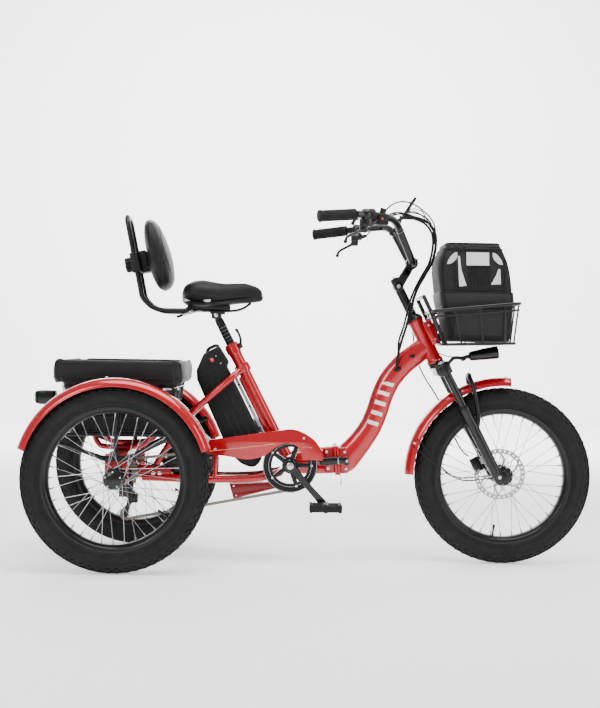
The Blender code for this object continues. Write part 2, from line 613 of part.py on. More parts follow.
def make_chain():
    """One closed loop: chainring, top run, cassette, guide pulley, tension pulley, lower run."""
    ring = Vector((BB.x, CHAIN_Y, BB.z))
    cog = Vector((REAR_AXLE.x, CHAIN_Y, REAR_AXLE.z))
    loop = arc(ring, CHAINRING_R, -82.0, 94.0, 12)
    loop += arc(cog, COG_R, 94.0, 250.0, 8)
    loop += arc(UPPER_PULLEY, PULLEY_PATH_R, 50.0, -30.0, 4)
    loop += arc(LOWER_PULLEY, PULLEY_PATH_R, 140.0, 278.0, 6)
    return tube(loop, 0.0036, 1, closed=True)


finish(make_chain(), "chain", (0.25, 0.24, 0.22), 0.4, 0.8)

CAGE_Y = CHAIN_Y - 0.0062
cage = joined(rod(UPPER_PULLEY + ACROSS * 0.003, UPPER_PULLEY - ACROSS * 0.008, 0.0105, 12),
              rod(LOWER_PULLEY + ACROSS * 0.003, LOWER_PULLEY - ACROSS * 0.008, 0.0105, 12),
              box((0.068, 0.0024, 0.014), (UPPER_PULLEY + LOWER_PULLEY) / 2 - ACROSS * 0.0066,
                  (UPPER_PULLEY - LOWER_PULLEY)),
              box((0.030, 0.016, 0.034), (-0.5480, CAGE_Y - 0.0075, 0.1940)),
              box((0.024, 0.010, 0.026), (-0.5600, -0.1075, 0.2100)))
cage = cut(cage, box((0.3, 0.02, 0.3), (-0.5500, -0.1228, 0.2400)))
finish(cage, "derailleur", BLACK, 0.4, 0.4)

GUARD_Y = CHAIN_Y - 0.0115
GUARD_TOP = [(-0.3280, 0.3350), (-0.3290, 0.3745), (-0.2180, 0.3915), (-0.1085, 0.4079),
             (-0.0700, 0.4131), (-0.0356, 0.4048), (0.0036, 0.3797), (0.0260, 0.3450),
             (0.0290, 0.3190), (-0.0320, 0.3190), (-0.0390, 0.3420), (-0.0500, 0.3600),
             (-0.0800, 0.3700), (-0.1150, 0.3560), (-0.1500, 0.3300), (-0.2013, 0.3184),
             (-0.2575, 0.3260)]
guard = joined(plate(GUARD_TOP, 0.0025, GUARD_Y),
               rod((-0.3000, GUARD_Y, 0.3350), (-0.3000, -0.0660, 0.3350), 0.0042, 8),
               box((0.012, 0.018, 0.089), (-0.3000, -0.0721, 0.2950)), solver="MANIFOLD")
guard = cut(guard, rod((-0.2, -STAY_Y, 0.2560), (-0.4, -STAY_Y, 0.2560), 0.0145, 12),
            box((0.08, 0.012, 0.30), (-0.3000, -0.0570, 0.3000)))
finish(guard, "chain_guard", RED, 0.25)

CONTROLLER = [(-0.2581, 0.2380), (-0.2442, 0.1903), (-0.0849, 0.2330), (-0.1250, 0.2440)]
finish(plate(CONTROLLER[::-1], 0.074, 0.0), "controller_box", (0.25, 0.01, 0.012), 0.4)

BATTERY = [(-0.3441, 0.6384), (-0.2969, 0.6651), (-0.2670, 0.6180), (-0.2700, 0.5985),
           (-0.1640, 0.3900), (-0.1560, 0.3350), (-0.1640, 0.3060), (-0.1850, 0.2905),
           (-0.2200, 0.3000), (-0.2520, 0.3300), (-0.2820, 0.3811), (-0.3626, 0.5577),
           (-0.3650, 0.5880)]
POWER_AT = Vector((-0.3170, -0.0440, 0.6200))
battery = plate(BATTERY, 0.088, 0.0)
bevel = battery.modifiers.new("soft_edges", "BEVEL")
bevel.width = 0.012
bevel.segments = 2
bevel.limit_method = "ANGLE"
battery = cut(frozen(battery), rod(POWER_AT + ACROSS * 0.0036, POWER_AT - ACROSS * 0.0100, 0.0080, 12))
finish(battery, "battery", BLACK, 0.4, pivot=(-0.2500, 0.0, 0.4800))

rail = box((0.0095, 0.040, 0.230), seat(0.215, -0.0330), SEAT_FORE, SEAT_UP)
finish(rail, "battery_rail", (0.45, 0.46, 0.48), 0.4, 0.6)
power_button = rod(POWER_AT + ACROSS * 0.0010, POWER_AT - ACROSS * 0.0034, 0.0065, 12)
finish(power_button, "power_button", (0.6, 0.02, 0.02), 0.4, pivot=POWER_AT)


# ---- seat -----------------------------------------------------------------------------------
POST_R = 0.0138
SEAT_CLAMP_S = 0.519
seat_post = joined(rod(seat(0.250), seat(0.512), POST_R, 20),
                   rod(seat(0.515, 0.0, -0.026), seat(0.515, 0.0, 0.026), 0.0130, 12),
                   box((0.086, 0.044, 0.010), seat(0.5200) + Vector((0.004, 0.0, 0.0020))))
finish(seat_post, "seat_post", BLACK, 0.3, 0.5, pivot=seat(SEAT_TUBE_TOP))

SADDLE_Z = 0.7780


def make_saddle():
    """A broad cruiser saddle: a coarse cage, rounded by subdivision."""
    stations = [(-0.4160, 0.060, 0.803, 0.838), (-0.4000, 0.108, 0.789, 0.862),
                (-0.3500, 0.128, 0.783, 0.871), (-0.2950, 0.122, 0.787, 0.868),
                (-0.2500, 0.082, 0.797, 0.866), (-0.2050, 0.046, 0.802, 0.874),
                (-0.1700, 0.034, 0.802, 0.862), (-0.1560, 0.018, 0.810, 0.840)]
    bm = bmesh.new()
    rings = []
    for x, half, low, high in stations:
        middle = (low + high) / 2
        rings.append([bm.verts.new((x, y, z)) for y, z in (
            (-half, middle), (-half * 0.75, high), (0.0, high - 0.003), (half * 0.75, high),
            (half, middle), (half * 0.70, low), (-half * 0.70, low))])
    for near, far in zip(rings, rings[1:]):
        for k in range(7):
            bm.faces.new((near[k], near[(k + 1) % 7], far[(k + 1) % 7], far[k]))
    bm.faces.new(rings[0])
    bm.faces.new(rings[-1])
    bmesh.ops.recalc_face_normals(bm, faces=bm.faces)
    mesh = bpy.data.meshes.new("saddle")
    bm.to_mesh(mesh)
    bm.free()
    obj = link("saddle", mesh)
    soften = obj.modifiers.new("soften", "SUBSURF")
    soften.levels = 1
    soften.render_levels = 1
    obj = frozen(obj)
    pan = box((0.215, 0.062, 0.016), (-0.3100, 0.0, 0.7880))
    return joined(obj, pan)


finish(make_saddle(), "saddle", BLACK, 0.5, pivot=(-0.3000, 0.0, SADDLE_Z))

BACK_TILT = math.radians(11.8)
BACK_UP = Vector((-math.sin(BACK_TILT), 0.0, math.cos(BACK_TILT)))
BACK_FORE = Vector((math.cos(BACK_TILT), 0.0, math.sin(BACK_TILT)))
BACK_AT = Vector((-0.5570, 0.0, 0.9180))
BACK_TUBE_Y = 0.054


def back(up, fore, y=0.0):
    """A point up the backrest's tubes from its clamp, and ahead of them."""
    return BACK_AT + BACK_UP * up + BACK_FORE * fore + ACROSS * y


def make_backrest_frame():
    half = [Vector(p) for p in ((-0.3900, 0.0520, 0.7710), (-0.4700, 0.0540, 0.7715),
                                (-0.5080, 0.0540, 0.7840), (-0.5300, 0.0540, 0.8080))]
    half += [back(-0.085, 0.0, BACK_TUBE_Y), back(0.118, 0.0, BACK_TUBE_Y), back(0.136, 0.0, 0.045),
             back(0.143, 0.0, 0.025)]
    other = [Vector((p.x, -p.y, p.z)) for p in half]
    loop = tube(half + other[::-1], 0.0080, 1)
    bar = rod((-0.3950, 0.060, 0.7710), (-0.3950, -0.060, 0.7710), 0.0065, 10)
    return joined(loop, bar)


finish(make_backrest_frame(), "backrest_frame", BLACK, 0.3, 0.5, pivot=(-0.3000, 0.0, SADDLE_Z))

clamp = joined(box((0.030, 0.140, 0.062), back(0.0, 0.0), BACK_FORE, BACK_UP),
               box((0.028, 0.080, 0.070), back(0.0, 0.0240), BACK_FORE, BACK_UP))
clamp = cut(clamp, rod(back(-0.15, 0.0, BACK_TUBE_Y), back(0.15, 0.0, BACK_TUBE_Y), 0.0092, 12),
            rod(back(-0.15, 0.0, -BACK_TUBE_Y), back(0.15, 0.0, -BACK_TUBE_Y), 0.0092, 12),
            rod(back(0.0, -0.0060), back(0.0, -0.0300), 0.0062, 12))
finish(clamp, "backrest_clamp", BLACK, 0.4, pivot=BACK_AT)
KNOB_AT = back(0.0, -0.0150)
knob = joined(rod(back(0.0, -0.0160), back(0.0, -0.0380), 0.0230, 12),
              rod(back(0.0, -0.0070), back(0.0, -0.0200), 0.0050, 10))
finish(knob, "backrest_knob", BLACK, 0.4, pivot=KNOB_AT)


def make_pad():
    rows = [(-0.104, 0.062, 0.000, 0.026), (-0.090, 0.105, -0.012, 0.046), (-0.045, 0.140, -0.014, 0.054),
            (0.010, 0.150, -0.014, 0.050), (0.065, 0.146, -0.014, 0.040), (0.112, 0.118, -0.012, 0.028),
            (0.130, 0.070, -0.004, 0.012)]
    bm = bmesh.new()
    rings = []
    for up, half, rear, fore in rows:
        middle = (rear + fore) / 2
        rings.append([bm.verts.new(back(up, 0.0560 + f, y)) for f, y in (
            (middle, -half), (fore, -half * 0.72), (fore + 0.004, 0.0), (fore, half * 0.72),
            (middle, half), (rear, half * 0.78), (rear, -half * 0.78))])
    for near, far in zip(rings, rings[1:]):
        for k in range(7):
            bm.faces.new((near[k], near[(k + 1) % 7], far[(k + 1) % 7], far[k]))
    bm.faces.new(rings[0])
    bm.faces.new(rings[-1])
    bmesh.ops.recalc_face_normals(bm, faces=bm.faces)
    mesh = bpy.data.meshes.new("pad")
    bm.to_mesh(mesh)
    bm.free()
    obj = link("pad", mesh)
    soften = obj.modifiers.new("soften", "SUBSURF")
    soften.levels = 1
    soften.render_levels = 1
    obj = frozen(obj)
    return cut(obj, box((0.080, 0.50, 0.40), back(0.0, -0.0014), BACK_FORE, BACK_UP))


finish(make_pad(), "backrest_pad", BLACK, 0.5, pivot=BACK_AT)

SEAT_LEVER_AT = seat(SEAT_TUBE_TOP - 0.012, 0.0270)
seat_lever = joined(rod(SEAT_LEVER_AT - ACROSS * 0.022, SEAT_LEVER_AT + ACROSS * 0.022, 0.0055, 10),
                    rod(SEAT_LEVER_AT - ACROSS * 0.020, SEAT_LEVER_AT - ACROSS * 0.020
                        + SEAT_UP * 0.044 + SEAT_FORE * 0.008, 0.0045, 8))
finish(seat_lever, "seat_lever", BLACK, 0.3, 0.5, pivot=SEAT_LEVER_AT)
SLIDE_LEVER_AT = Vector((-0.3600, -0.0660, 0.7700))
slide_lever = joined(rod(SLIDE_LEVER_AT, SLIDE_LEVER_AT + ACROSS * 0.014, 0.0060, 10),
                     rod(SLIDE_LEVER_AT, (-0.4257, -0.0720, 0.7511), 0.0035, 8))
finish(slide_lever, "slide_lever", STEEL, 0.3, 0.8, pivot=SLIDE_LEVER_AT)


# ---- handlepost, stem and bar ---------------------------------------------------------------
POST_CENTRE_R = 0.0143
steerer = rod(steer(0.006), steer(0.146), 0.0136, 16)
handlepost = joined(rod(steer(0.1458), steer(POST_TOP_S), POST_CENTRE_R, 20),
                    rod(steer(0.1458), steer(0.158), 0.0200, 20), steerer)
finish(handlepost, "handlepost", BLACK, 0.3, 0.5, pivot=HEAD_FOOT)

STEM_PIVOT = steer(STEM_PIVOT_S)
BAR_CLAMP = Vector((0.3000, 0.0, 0.9310))
STEM_DIR = (BAR_CLAMP - STEM_PIVOT).normalized()
STEM_SIDE = STEM_DIR.cross(ACROSS)


def make_stem():
    cheeks = [box((0.070, 0.0060, 0.026), STEM_PIVOT + STEM_DIR * 0.027 + ACROSS * (0.0178 * side),
                  STEM_DIR, STEM_SIDE) for side in (1.0, -1.0)]
    cheeks += [rod(STEM_PIVOT + ACROSS * (0.0148 * side), STEM_PIVOT + ACROSS * (0.0208 * side),
                   0.0150, 16) for side in (1.0, -1.0)]
    bridge = box((0.040, 0.0416, 0.026), STEM_PIVOT + STEM_DIR * 0.058, STEM_DIR, STEM_SIDE)
    clamp_body = rod(BAR_CLAMP - ACROSS * 0.0208, BAR_CLAMP + ACROSS * 0.0208, 0.0190, 16)
    bore = rod(BAR_CLAMP - ACROSS * 0.04, BAR_CLAMP + ACROSS * 0.04, 0.0122, 16)
    return cut(joined(bridge, clamp_body, *cheeks, solver="MANIFOLD"), bore)


finish(make_stem(), "stem_arm", BLACK, 0.3, 0.5, pivot=STEM_PIVOT)

BAR_R = 0.0111
BAR_LINE = [(0.3000, 0.0, 0.9310), (0.2995, 0.0280, 0.9312), (0.2955, 0.0460, 0.9400),
            (0.2850, 0.0600, 0.9620), (0.2640, 0.0800, 1.0060), (0.2470, 0.1000, 1.0380),
            (0.2240, 0.1400, 1.0550), (0.1800, 0.2030, 1.0580), (0.1400, 0.2450, 1.0570)]
GRIP_IN = Vector((0.1115, 0.2640, 1.0550))
GRIP_END = Vector((0.0000, 0.3100, 1.0435))


def both_sides(points):
    half = [Vector(p) for p in points]
    return [Vector((p.x, -p.y, p.z)) for p in half[:0:-1]] + half


def flip(p):
    return Vector((p.x, -p.y, p.z))


bar = tube(both_sides(BAR_LINE + [tuple(GRIP_IN)]), BAR_R, 2)
perches = [box((0.030, 0.026, 0.040), (0.1400, 0.2430 * side, 1.0400)) for side in (1.0, -1.0)]
light_switch = box((0.036, 0.026, 0.036), (0.1850, -0.2080, 1.0400))
display_arm = rod((0.2500, 0.0920, 1.0400), (0.2640, 0.0700, 1.0620), 0.0060, 8)
bar = joined(bar, light_switch, display_arm, *perches)
finish(bar, "handlebar", BLACK, 0.3, 0.5, pivot=STEM_PIVOT)
for grip_name, place in (("right_grip", flip), ("left_grip", Vector)):
    start = place(GRIP_IN)
    end = place(GRIP_END)
    along = (end - start).normalized()
    grip = joined(rod(start + along * 0.0045, end, 0.0165, 16), rod(end - along * 0.006, end, 0.0185, 16))
    finish(grip, grip_name, RUBBER, 0.7, pivot=start)

LEVER_LINE = [(0.1330, 0.2470, 1.0150), (0.1200, 0.2560, 1.0060), (0.1000, 0.2700, 0.9960),
              (0.0840, 0.2820, 0.9860), (0.0790, 0.2870, 0.9730)]
for lever_name, place in (("right_brake_lever", flip), ("left_brake_lever", Vector)):
    line = [place(Vector(p)) for p in LEVER_LINE]
    finish(tube(smooth_path(line, 2), 0.0045, 1), lever_name, BLACK, 0.3, 0.6, pivot=line[0])

THROTTLE_AT = Vector((0.1180, -0.2300, 1.0460))
throttle = joined(rod(THROTTLE_AT, THROTTLE_AT + Vector((-0.0120, -0.0050, 0.0)), 0.0060, 10),
                  rod(THROTTLE_AT + Vector((-0.0060, -0.0020, 0.0)),
                      THROTTLE_AT + Vector((-0.0160, 0.0120, -0.0160)), 0.0045, 8))
finish(throttle, "throttle", BLACK, 0.4, pivot=THROTTLE_AT)
SHIFTER_AT = Vector((0.1880, -0.1880, 1.0240))
shifter = joined(rod(SHIFTER_AT, SHIFTER_AT - Vector((0.0, 0.0, 0.0080)), 0.0080, 10),
                 rod(SHIFTER_AT - Vector((0.0, 0.0, 0.0050)),
                     SHIFTER_AT + Vector((-0.0300, 0.0060, -0.0050)), 0.0040, 8))
shifter = cut(shifter, box((0.05, 0.05, 0.02), (0.1850, -0.2000, 1.0315)))
finish(shifter, "shifter", BLACK, 0.4, pivot=SHIFTER_AT)

DISPLAY_AT = Vector((0.2700, 0.0550, 1.0800))
DISPLAY_UP = Vector((0.5370, 0.0, 0.8436)).normalized()
DISPLAY_FACE = ACROSS.cross(DISPLAY_UP)
display = box((0.0100, 0.062, 0.082), DISPLAY_AT + DISPLAY_UP * 0.032 + Vector((0.004, 0.0, 0.0)),
              DISPLAY_FACE, DISPLAY_UP)
finish(display, "display", BLACK, 0.2, pivot=DISPLAY_AT)


# ---- cables ---------------------------------------------------------------------------------
LOOM = [(0.2450, -0.0760, 1.0560), (0.2750, -0.0600, 1.0700), (0.3150, -0.0480, 1.0680),
        (0.3500, -0.0350, 1.0520), (0.3700, -0.0240, 1.0220), (0.3720, -0.0190, 0.9800),
        (0.3600, -0.0200, 0.9300), (0.3340, -0.0270, 0.8850), (0.3120, -0.0320, 0.8400),
        (0.2980, -0.0350, 0.7950), (0.2850, -0.0380, 0.7400), (0.2700, -0.0380, 0.6900),
        (0.2600, -0.0360, 0.6500), (0.2560, -0.0300, 0.6100)]
HOSE = [(0.3600, -0.0200, 0.9300), (0.3420, 0.0050, 0.8900), (0.3160, 0.0320, 0.8350),
        (0.3080, 0.0400, 0.7600), (0.3150, 0.0420, 0.6900), (0.3250, 0.0440, 0.6300),
        (0.3560, 0.0600, 0.5700), (0.3900, 0.0720, 0.5200), (0.4200, 0.0740, 0.4600),
        (0.4450, 0.0700, 0.4000), (0.4720, 0.0560, 0.3480), (0.4930, 0.0440, 0.3280)]
loom = joined(tube(smooth_path(LOOM, 1), 0.0050, 1), tube(smooth_path(HOSE, 1), 0.0025, 0))
finish(loom, "cable_loom", RUBBER, 0.6)

LAMP_AT = steer(-0.030, 0.096)
LAMP_DIR = Vector((math.cos(0.16), 0.0, math.sin(0.16)))
headlight = rod(LAMP_AT + LAMP_DIR * 0.004, LAMP_AT + LAMP_DIR * 0.098, 0.0150, 16, end_radius=0.0200)
finish(headlight, "headlight", BLACK, 0.3, pivot=LAMP_AT)


# ---- front basket and carrier ------------------------------------------------------------------
CARRIER_RINGS = [(0.6950, 0.4070, 0.6000, 0.112), (0.8100, 0.3840, 0.6030, 0.124),
                 (0.9000, 0.3700, 0.5930, 0.124), (0.9500, 0.3760, 0.5790, 0.118),
                 (0.9900, 0.4080, 0.5560, 0.100)]


def make_carrier():
    """A soft pet carrier: lofted walls, open at the top."""
    bm = bmesh.new()

    def ring(z, rear, fore, half, inset):
        corner = 0.022
        r, f, h = rear + inset, fore - inset, half - inset
        return [bm.verts.new((x, y, z)) for x, y in (
            (r + corner, -h), (f - corner, -h), (f, corner - h), (f, h - corner),
            (f - corner, h), (r + corner, h), (r, h - corner), (r, corner - h))]

    outside = [ring(z, rear, fore, half, 0.0) for z, rear, fore, half in CARRIER_RINGS]
    inside = [ring(z, rear, fore, half, 0.005) for z, rear, fore, half in CARRIER_RINGS]
    for v in inside[0]:
        v.co.z += 0.005
    rings = outside + inside[::-1]
    for low, high in zip(rings, rings[1:]):
        for k in range(8):
            bm.faces.new((low[k], low[(k + 1) % 8], high[(k + 1) % 8], high[k]))
    bm.faces.new(rings[0])
    bm.faces.new(rings[-1])
    bmesh.ops.recalc_face_normals(bm, faces=bm.faces)
    mesh = bpy.data.meshes.new("carrier")
    bm.to_mesh(mesh)
    bm.free()
    return link("carrier", mesh)


finish(make_carrier(), "pet_carrier", FABRIC, 0.9)


def make_front_basket():
    rods = []
    top_rear, top_fore, low_rear, low_fore = 0.3560, 0.6190, 0.3900, 0.6080
    corners = {}
    for level, rear, fore, half, z_rear, z_fore, radius in (
            ("top", top_rear, top_fore, 0.148, 0.7790, 0.8060, 0.0048),
            ("low", low_rear, low_fore, 0.130, 0.6790, 0.6850, 0.0058)):
        corners[level] = [Vector((rear, -half, z_rear)), Vector((fore, -half, z_fore)),
                          Vector((fore, half, z_fore)), Vector((rear, half, z_rear))]
        rods += [tube(corners[level], radius, 1, closed=True)]
    for a, b in zip(corners["low"], corners["top"]):
        rods.append(rod(a, b, 0.0040, 6))
    for t in (0.33, 0.67):
        for near, far in ((0, 1), (3, 2)):
            rods.append(rod(corners["low"][near].lerp(corners["low"][far], t),
                            corners["top"][near].lerp(corners["top"][far], t), 0.0030, 4))
        for near, far in ((0, 3), (1, 2)):
            rods.append(rod(corners["low"][near].lerp(corners["low"][far], t),
                            corners["top"][near].lerp(corners["top"][far], t), 0.0030, 4))
        rods.append(rod(corners["low"][0].lerp(corners["low"][3], t),
                        corners["low"][1].lerp(corners["low"][2], t), 0.0040, 6))
    for side in (1.0, -1.0):
        rods.append(rod((0.4000, 0.100 * side, 0.6780), (0.3300, 0.100 * side, 0.8240), 0.0055, 8))
    rods.append(rod((0.3300, -0.104, 0.8240), (0.3300, 0.104, 0.8240), 0.0055, 8))
    rods.append(box((0.0060, 0.215, 0.030), steer(0.0980, 0.0475), STEER_FORE, STEER_UP))
    rods.append(box((0.0060, 0.215, 0.030), steer(0.0620, 0.0475), STEER_FORE, STEER_UP))
    return joined(*rods, solver="MANIFOLD")


finish(make_front_basket(), "front_basket", BLACK, 0.35, 0.3)
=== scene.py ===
import json
import math

import bpy
from mathutils import Matrix, Vector


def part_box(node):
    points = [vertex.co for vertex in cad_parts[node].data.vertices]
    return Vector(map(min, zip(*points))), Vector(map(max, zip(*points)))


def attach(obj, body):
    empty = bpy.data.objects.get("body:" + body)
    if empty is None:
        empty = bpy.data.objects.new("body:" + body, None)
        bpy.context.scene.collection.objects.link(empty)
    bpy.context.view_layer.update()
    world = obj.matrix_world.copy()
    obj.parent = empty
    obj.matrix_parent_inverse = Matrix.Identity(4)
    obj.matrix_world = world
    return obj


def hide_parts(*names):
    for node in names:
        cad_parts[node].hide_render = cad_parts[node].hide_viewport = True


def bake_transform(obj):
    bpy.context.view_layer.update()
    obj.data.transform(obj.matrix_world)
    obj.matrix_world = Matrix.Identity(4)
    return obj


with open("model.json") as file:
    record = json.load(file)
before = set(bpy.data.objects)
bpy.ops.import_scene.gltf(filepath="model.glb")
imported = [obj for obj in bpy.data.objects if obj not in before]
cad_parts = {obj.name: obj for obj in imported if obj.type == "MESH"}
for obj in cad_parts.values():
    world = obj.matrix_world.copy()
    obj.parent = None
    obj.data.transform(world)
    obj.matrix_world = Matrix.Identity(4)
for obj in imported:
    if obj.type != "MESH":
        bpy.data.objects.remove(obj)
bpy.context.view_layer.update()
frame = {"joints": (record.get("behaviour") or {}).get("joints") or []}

PIVOT = {j["name"]: Vector(j["pos_m"]) for j in frame["joints"] if "pos_m" in j}
AXIS = {j["name"]: Vector(j["axis"]).normalized() for j in frame["joints"]}

ACROSS = Vector((0.0, 1.0, 0.0))
UP = Vector((0.0, 0.0, 1.0))
FORE = Vector((1.0, 0.0, 0.0))
FRONT_AXLE = PIVOT["front_wheel_spin"]
RIGHT_AXLE = PIVOT["right_wheel_spin"]
LEFT_AXLE = PIVOT["left_wheel_spin"]
REAR_AXLE = (RIGHT_AXLE + LEFT_AXLE) / 2
HEAD_FOOT = PIVOT["steering"]
STEER_UP = AXIS["steering"]
STEER_FORE = ACROSS.cross(STEER_UP)
BB = PIVOT["crank_spin"]
SEAT_UP = AXIS["seat_post_slide"]
SEAT_FORE = ACROSS.cross(SEAT_UP)
HINGE_PIN = PIVOT["frame_fold"]
HINGE_UP = AXIS["frame_fold"]
BACK_UP = AXIS["backrest_slide"]
BACK_FORE = AXIS["backrest_knob"]
BACK_AT = PIVOT["backrest_knob"] + BACK_FORE * 0.015
STEM_PIVOT = PIVOT["stem_tilt"]
CHAIN_Y = -0.086
LEG_Y = 0.063
STAY_Y = 0.0665


# ---- places -----------------------------------------------------------------------------------
def steer(s, f=0.0, y=0.0):
    """A point s up the steering axis from the head tube's foot and f ahead of it."""
    return HEAD_FOOT + STEER_UP * s + STEER_FORE * f + ACROSS * y


def seat(s, f=0.0, y=0.0):
    """A point s up the seat tube from the bottom bracket and f ahead of it."""
    return BB + SEAT_UP * s + SEAT_FORE * f + ACROSS * y


def hinge(s, f=0.0, y=0.0):
    """A point s up the fold hinge from its middle and f ahead of it."""
    return Vector((HINGE_PIN.x, y, HINGE_PIN.z)) + HINGE_UP * s + FORE * f


def back(up, fore, y=0.0):
    """A point up the backrest's tubes from its clamp and ahead of them."""
    return BACK_AT + BACK_UP * up + BACK_FORE * fore + ACROSS * y


def around(centre, radius, degrees, y=None):
    """A point on a circle in the XZ plane; 0 degrees is forwards and 90 is up."""
    a = math.radians(degrees)
    return Vector((centre.x + radius * math.cos(a), centre.y if y is None else y,
                   centre.z + radius * math.sin(a)))


def arc(centre, radius, start, end, steps, y=None):
    return [around(centre, radius, start + (end - start) * i / steps, y) for i in range(steps + 1)]


def flip(p):
    """The same place on the other side of the centre plane."""
    return Vector((p[0], -p[1], p[2]))


def smooth_path(points, per_span=6, closed=False):
    """A smooth curve through the points."""
    pts = [Vector(p) for p in points]
    if closed:
        ends = [pts[-1]] + pts + [pts[0], pts[1]]
    else:
        ends = [pts[0] * 2 - pts[1]] + pts + [pts[-1] * 2 - pts[-2]]
    out = []
    for i in range(1, len(ends) - 2):
        p0, p1, p2, p3 = ends[i - 1:i + 3]
        for k in range(per_span):
            t = k / per_span
            out.append(0.5 * ((2 * p1) + (p2 - p0) * t + (2 * p0 - 5 * p1 + 4 * p2 - p3) * t ** 2
                              + (3 * p1 - p0 - 3 * p2 + p3) * t ** 3))
    return out if closed else out + [pts[-1]]


def axes_at(centre, x_axis, z_axis):
    z = Vector(z_axis).normalized()
    y = z.cross(Vector(x_axis)).normalized()
    x = y.cross(z)
    return Matrix.Translation(centre) @ Matrix((x, y, z)).transposed().to_4x4()


# ---- handling pieces --------------------------------------------------------------------------
def let_go():
    """Leave edit mode and select nothing."""
    if bpy.context.object and bpy.context.object.mode != "OBJECT":
        bpy.ops.object.mode_set(mode="OBJECT")
    bpy.ops.object.select_all(action="DESELECT")


def pick(*objs):
    let_go()
    for obj in objs:
        obj.select_set(True)
    bpy.context.view_layer.objects.active = objs[0]
    return objs[0]


def settle(obj):
    """Put the object's place, turn and size into its mesh."""
    pick(obj)
    bpy.ops.object.transform_apply(location=True, rotation=True, scale=True)
    return obj


def apply_modifier(obj, kind, **values):
    mod = obj.modifiers.new(kind.lower(), kind)
    for key, value in values.items():
        setattr(mod, key, value)
    pick(obj)
    bpy.ops.object.modifier_apply(modifier=mod.name)
    return obj


def soften(obj, width, segments=3, angle=32.0):
    """Round the edges that are sharper than the angle."""
    return apply_modifier(obj, "BEVEL", width=width, segments=segments, limit_method="ANGLE",
                          angle_limit=math.radians(angle), harden_normals=False)


def join(*objs):
    if len(objs) > 1:
        pick(*objs)
        bpy.ops.object.join()
    return objs[0]


def clean(obj, distance=0.00002):
    """Weld the seams and poles and turn the faces outwards."""
    pick(obj)
    bpy.ops.object.mode_set(mode="EDIT")
    bpy.ops.mesh.select_all(action="SELECT")
    bpy.ops.mesh.remove_doubles(threshold=distance)
    bpy.ops.mesh.dissolve_degenerate(threshold=distance)
    bpy.ops.mesh.normals_make_consistent(inside=False)
    bpy.ops.object.mode_set(mode="OBJECT")
    return obj


def own_copy(obj, place=Matrix.Identity(4)):
    copy = obj.copy()
    copy.data = obj.data.copy()
    bpy.context.scene.collection.objects.link(copy)
    copy.data.transform(place)
    return copy


def mirrored(obj):
    """A copy on the other side of the centre plane."""
    copy = own_copy(obj, Matrix.Diagonal((1.0, -1.0, 1.0, 1.0)))
    copy.data.flip_normals()
    return copy


def repeat(obj, places):
    """One piece made of a copy of obj at each place."""
    copies = [own_copy(obj, place) for place in places]
    bpy.data.objects.remove(obj, do_unlink=True)
    return join(*copies)


def turns(centre, count, axis=ACROSS, start=0.0):
    """Places round an axis, for what repeats on a wheel."""
    to, fro = Matrix.Translation(centre), Matrix.Translation(-Vector(centre))
    return [to @ Matrix.Rotation(math.radians(start + i * 360.0 / count), 4, axis) @ fro
            for i in range(count)]


def dress(obj, name, material, angle):
    """Name a finished piece, give it its finish and shade it smooth below the angle."""
    obj.name = name
    obj.data.name = name
    if material is not None:
        obj.data.materials.clear()
        obj.data.materials.append(material)
    pick(obj)
    bpy.ops.object.shade_smooth_by_angle(angle=math.radians(angle))


def fit(obj, name, material, body, replaces=(), angle=38.0):
    """Dress a finished piece and hang it on its body."""
    dress(obj, name, material, angle)
    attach(obj, body)
    if replaces:
        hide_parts(*replaces)
    return obj


def carve(obj, tool):
    """Cut the tool's shape out of the piece and take the tool away."""
    apply_modifier(obj, "BOOLEAN", operation="DIFFERENCE", object=tool)
    bpy.data.objects.remove(tool, do_unlink=True)
    return obj


def from_points(name, points, edges, faces):
    mesh = bpy.data.meshes.new(name)
    mesh.from_pydata(points, edges, faces)
    obj = bpy.data.objects.new(name, mesh)
    bpy.context.scene.collection.objects.link(obj)
    return obj


def meshed(name, curve):
    """The mesh that a curve makes."""
    obj = bpy.data.objects.new(name, curve)
    bpy.context.scene.collection.objects.link(obj)
    pick(obj)
    bpy.ops.object.convert(target="MESH")
    return bpy.context.object


# ---- shapes -----------------------------------------------------------------------------------
def cylinder(start, end, radius, end_radius=None, sides=32, edge=0.0):
    start, end = Vector(start), Vector(end)
    span = end - start
    bpy.ops.mesh.primitive_cone_add(
        vertices=sides, radius1=radius, radius2=radius if end_radius is None else end_radius,
        depth=span.length, location=(start + end) / 2,
        rotation=span.to_track_quat("Z", "Y").to_euler())
    obj = settle(bpy.context.object)
    if edge:
        soften(obj, edge, 2, 50.0)
    return obj


def block(size, centre, x_axis=FORE, z_axis=UP, edge=0.002, segments=3):
    bpy.ops.mesh.primitive_cube_add(size=1.0)
    obj = bpy.context.object
    obj.matrix_world = axes_at(Vector(centre), x_axis, z_axis) @ Matrix.Diagonal((*size, 1.0))
    settle(obj)
    return soften(obj, edge, segments) if edge else obj


def ball(centre, radius, squash=(1.0, 1.0, 1.0), x_axis=FORE, z_axis=UP, segments=24):
    bpy.ops.mesh.primitive_uv_sphere_add(segments=segments, ring_count=segments // 2, radius=radius)
    obj = bpy.context.object
    obj.matrix_world = axes_at(Vector(centre), x_axis, z_axis) @ Matrix.Diagonal((*squash, 1.0))
    return settle(obj)


def ring(centre, axis, radius, wire, steps=48, sides=10):
    bpy.ops.mesh.primitive_torus_add(major_segments=steps, minor_segments=sides,
                                     major_radius=radius, minor_radius=wire)
    obj = bpy.context.object
    side = UP if abs(Vector(axis).normalized().z) < 0.8 else FORE
    obj.matrix_world = axes_at(Vector(centre), side, axis)
    return settle(obj)


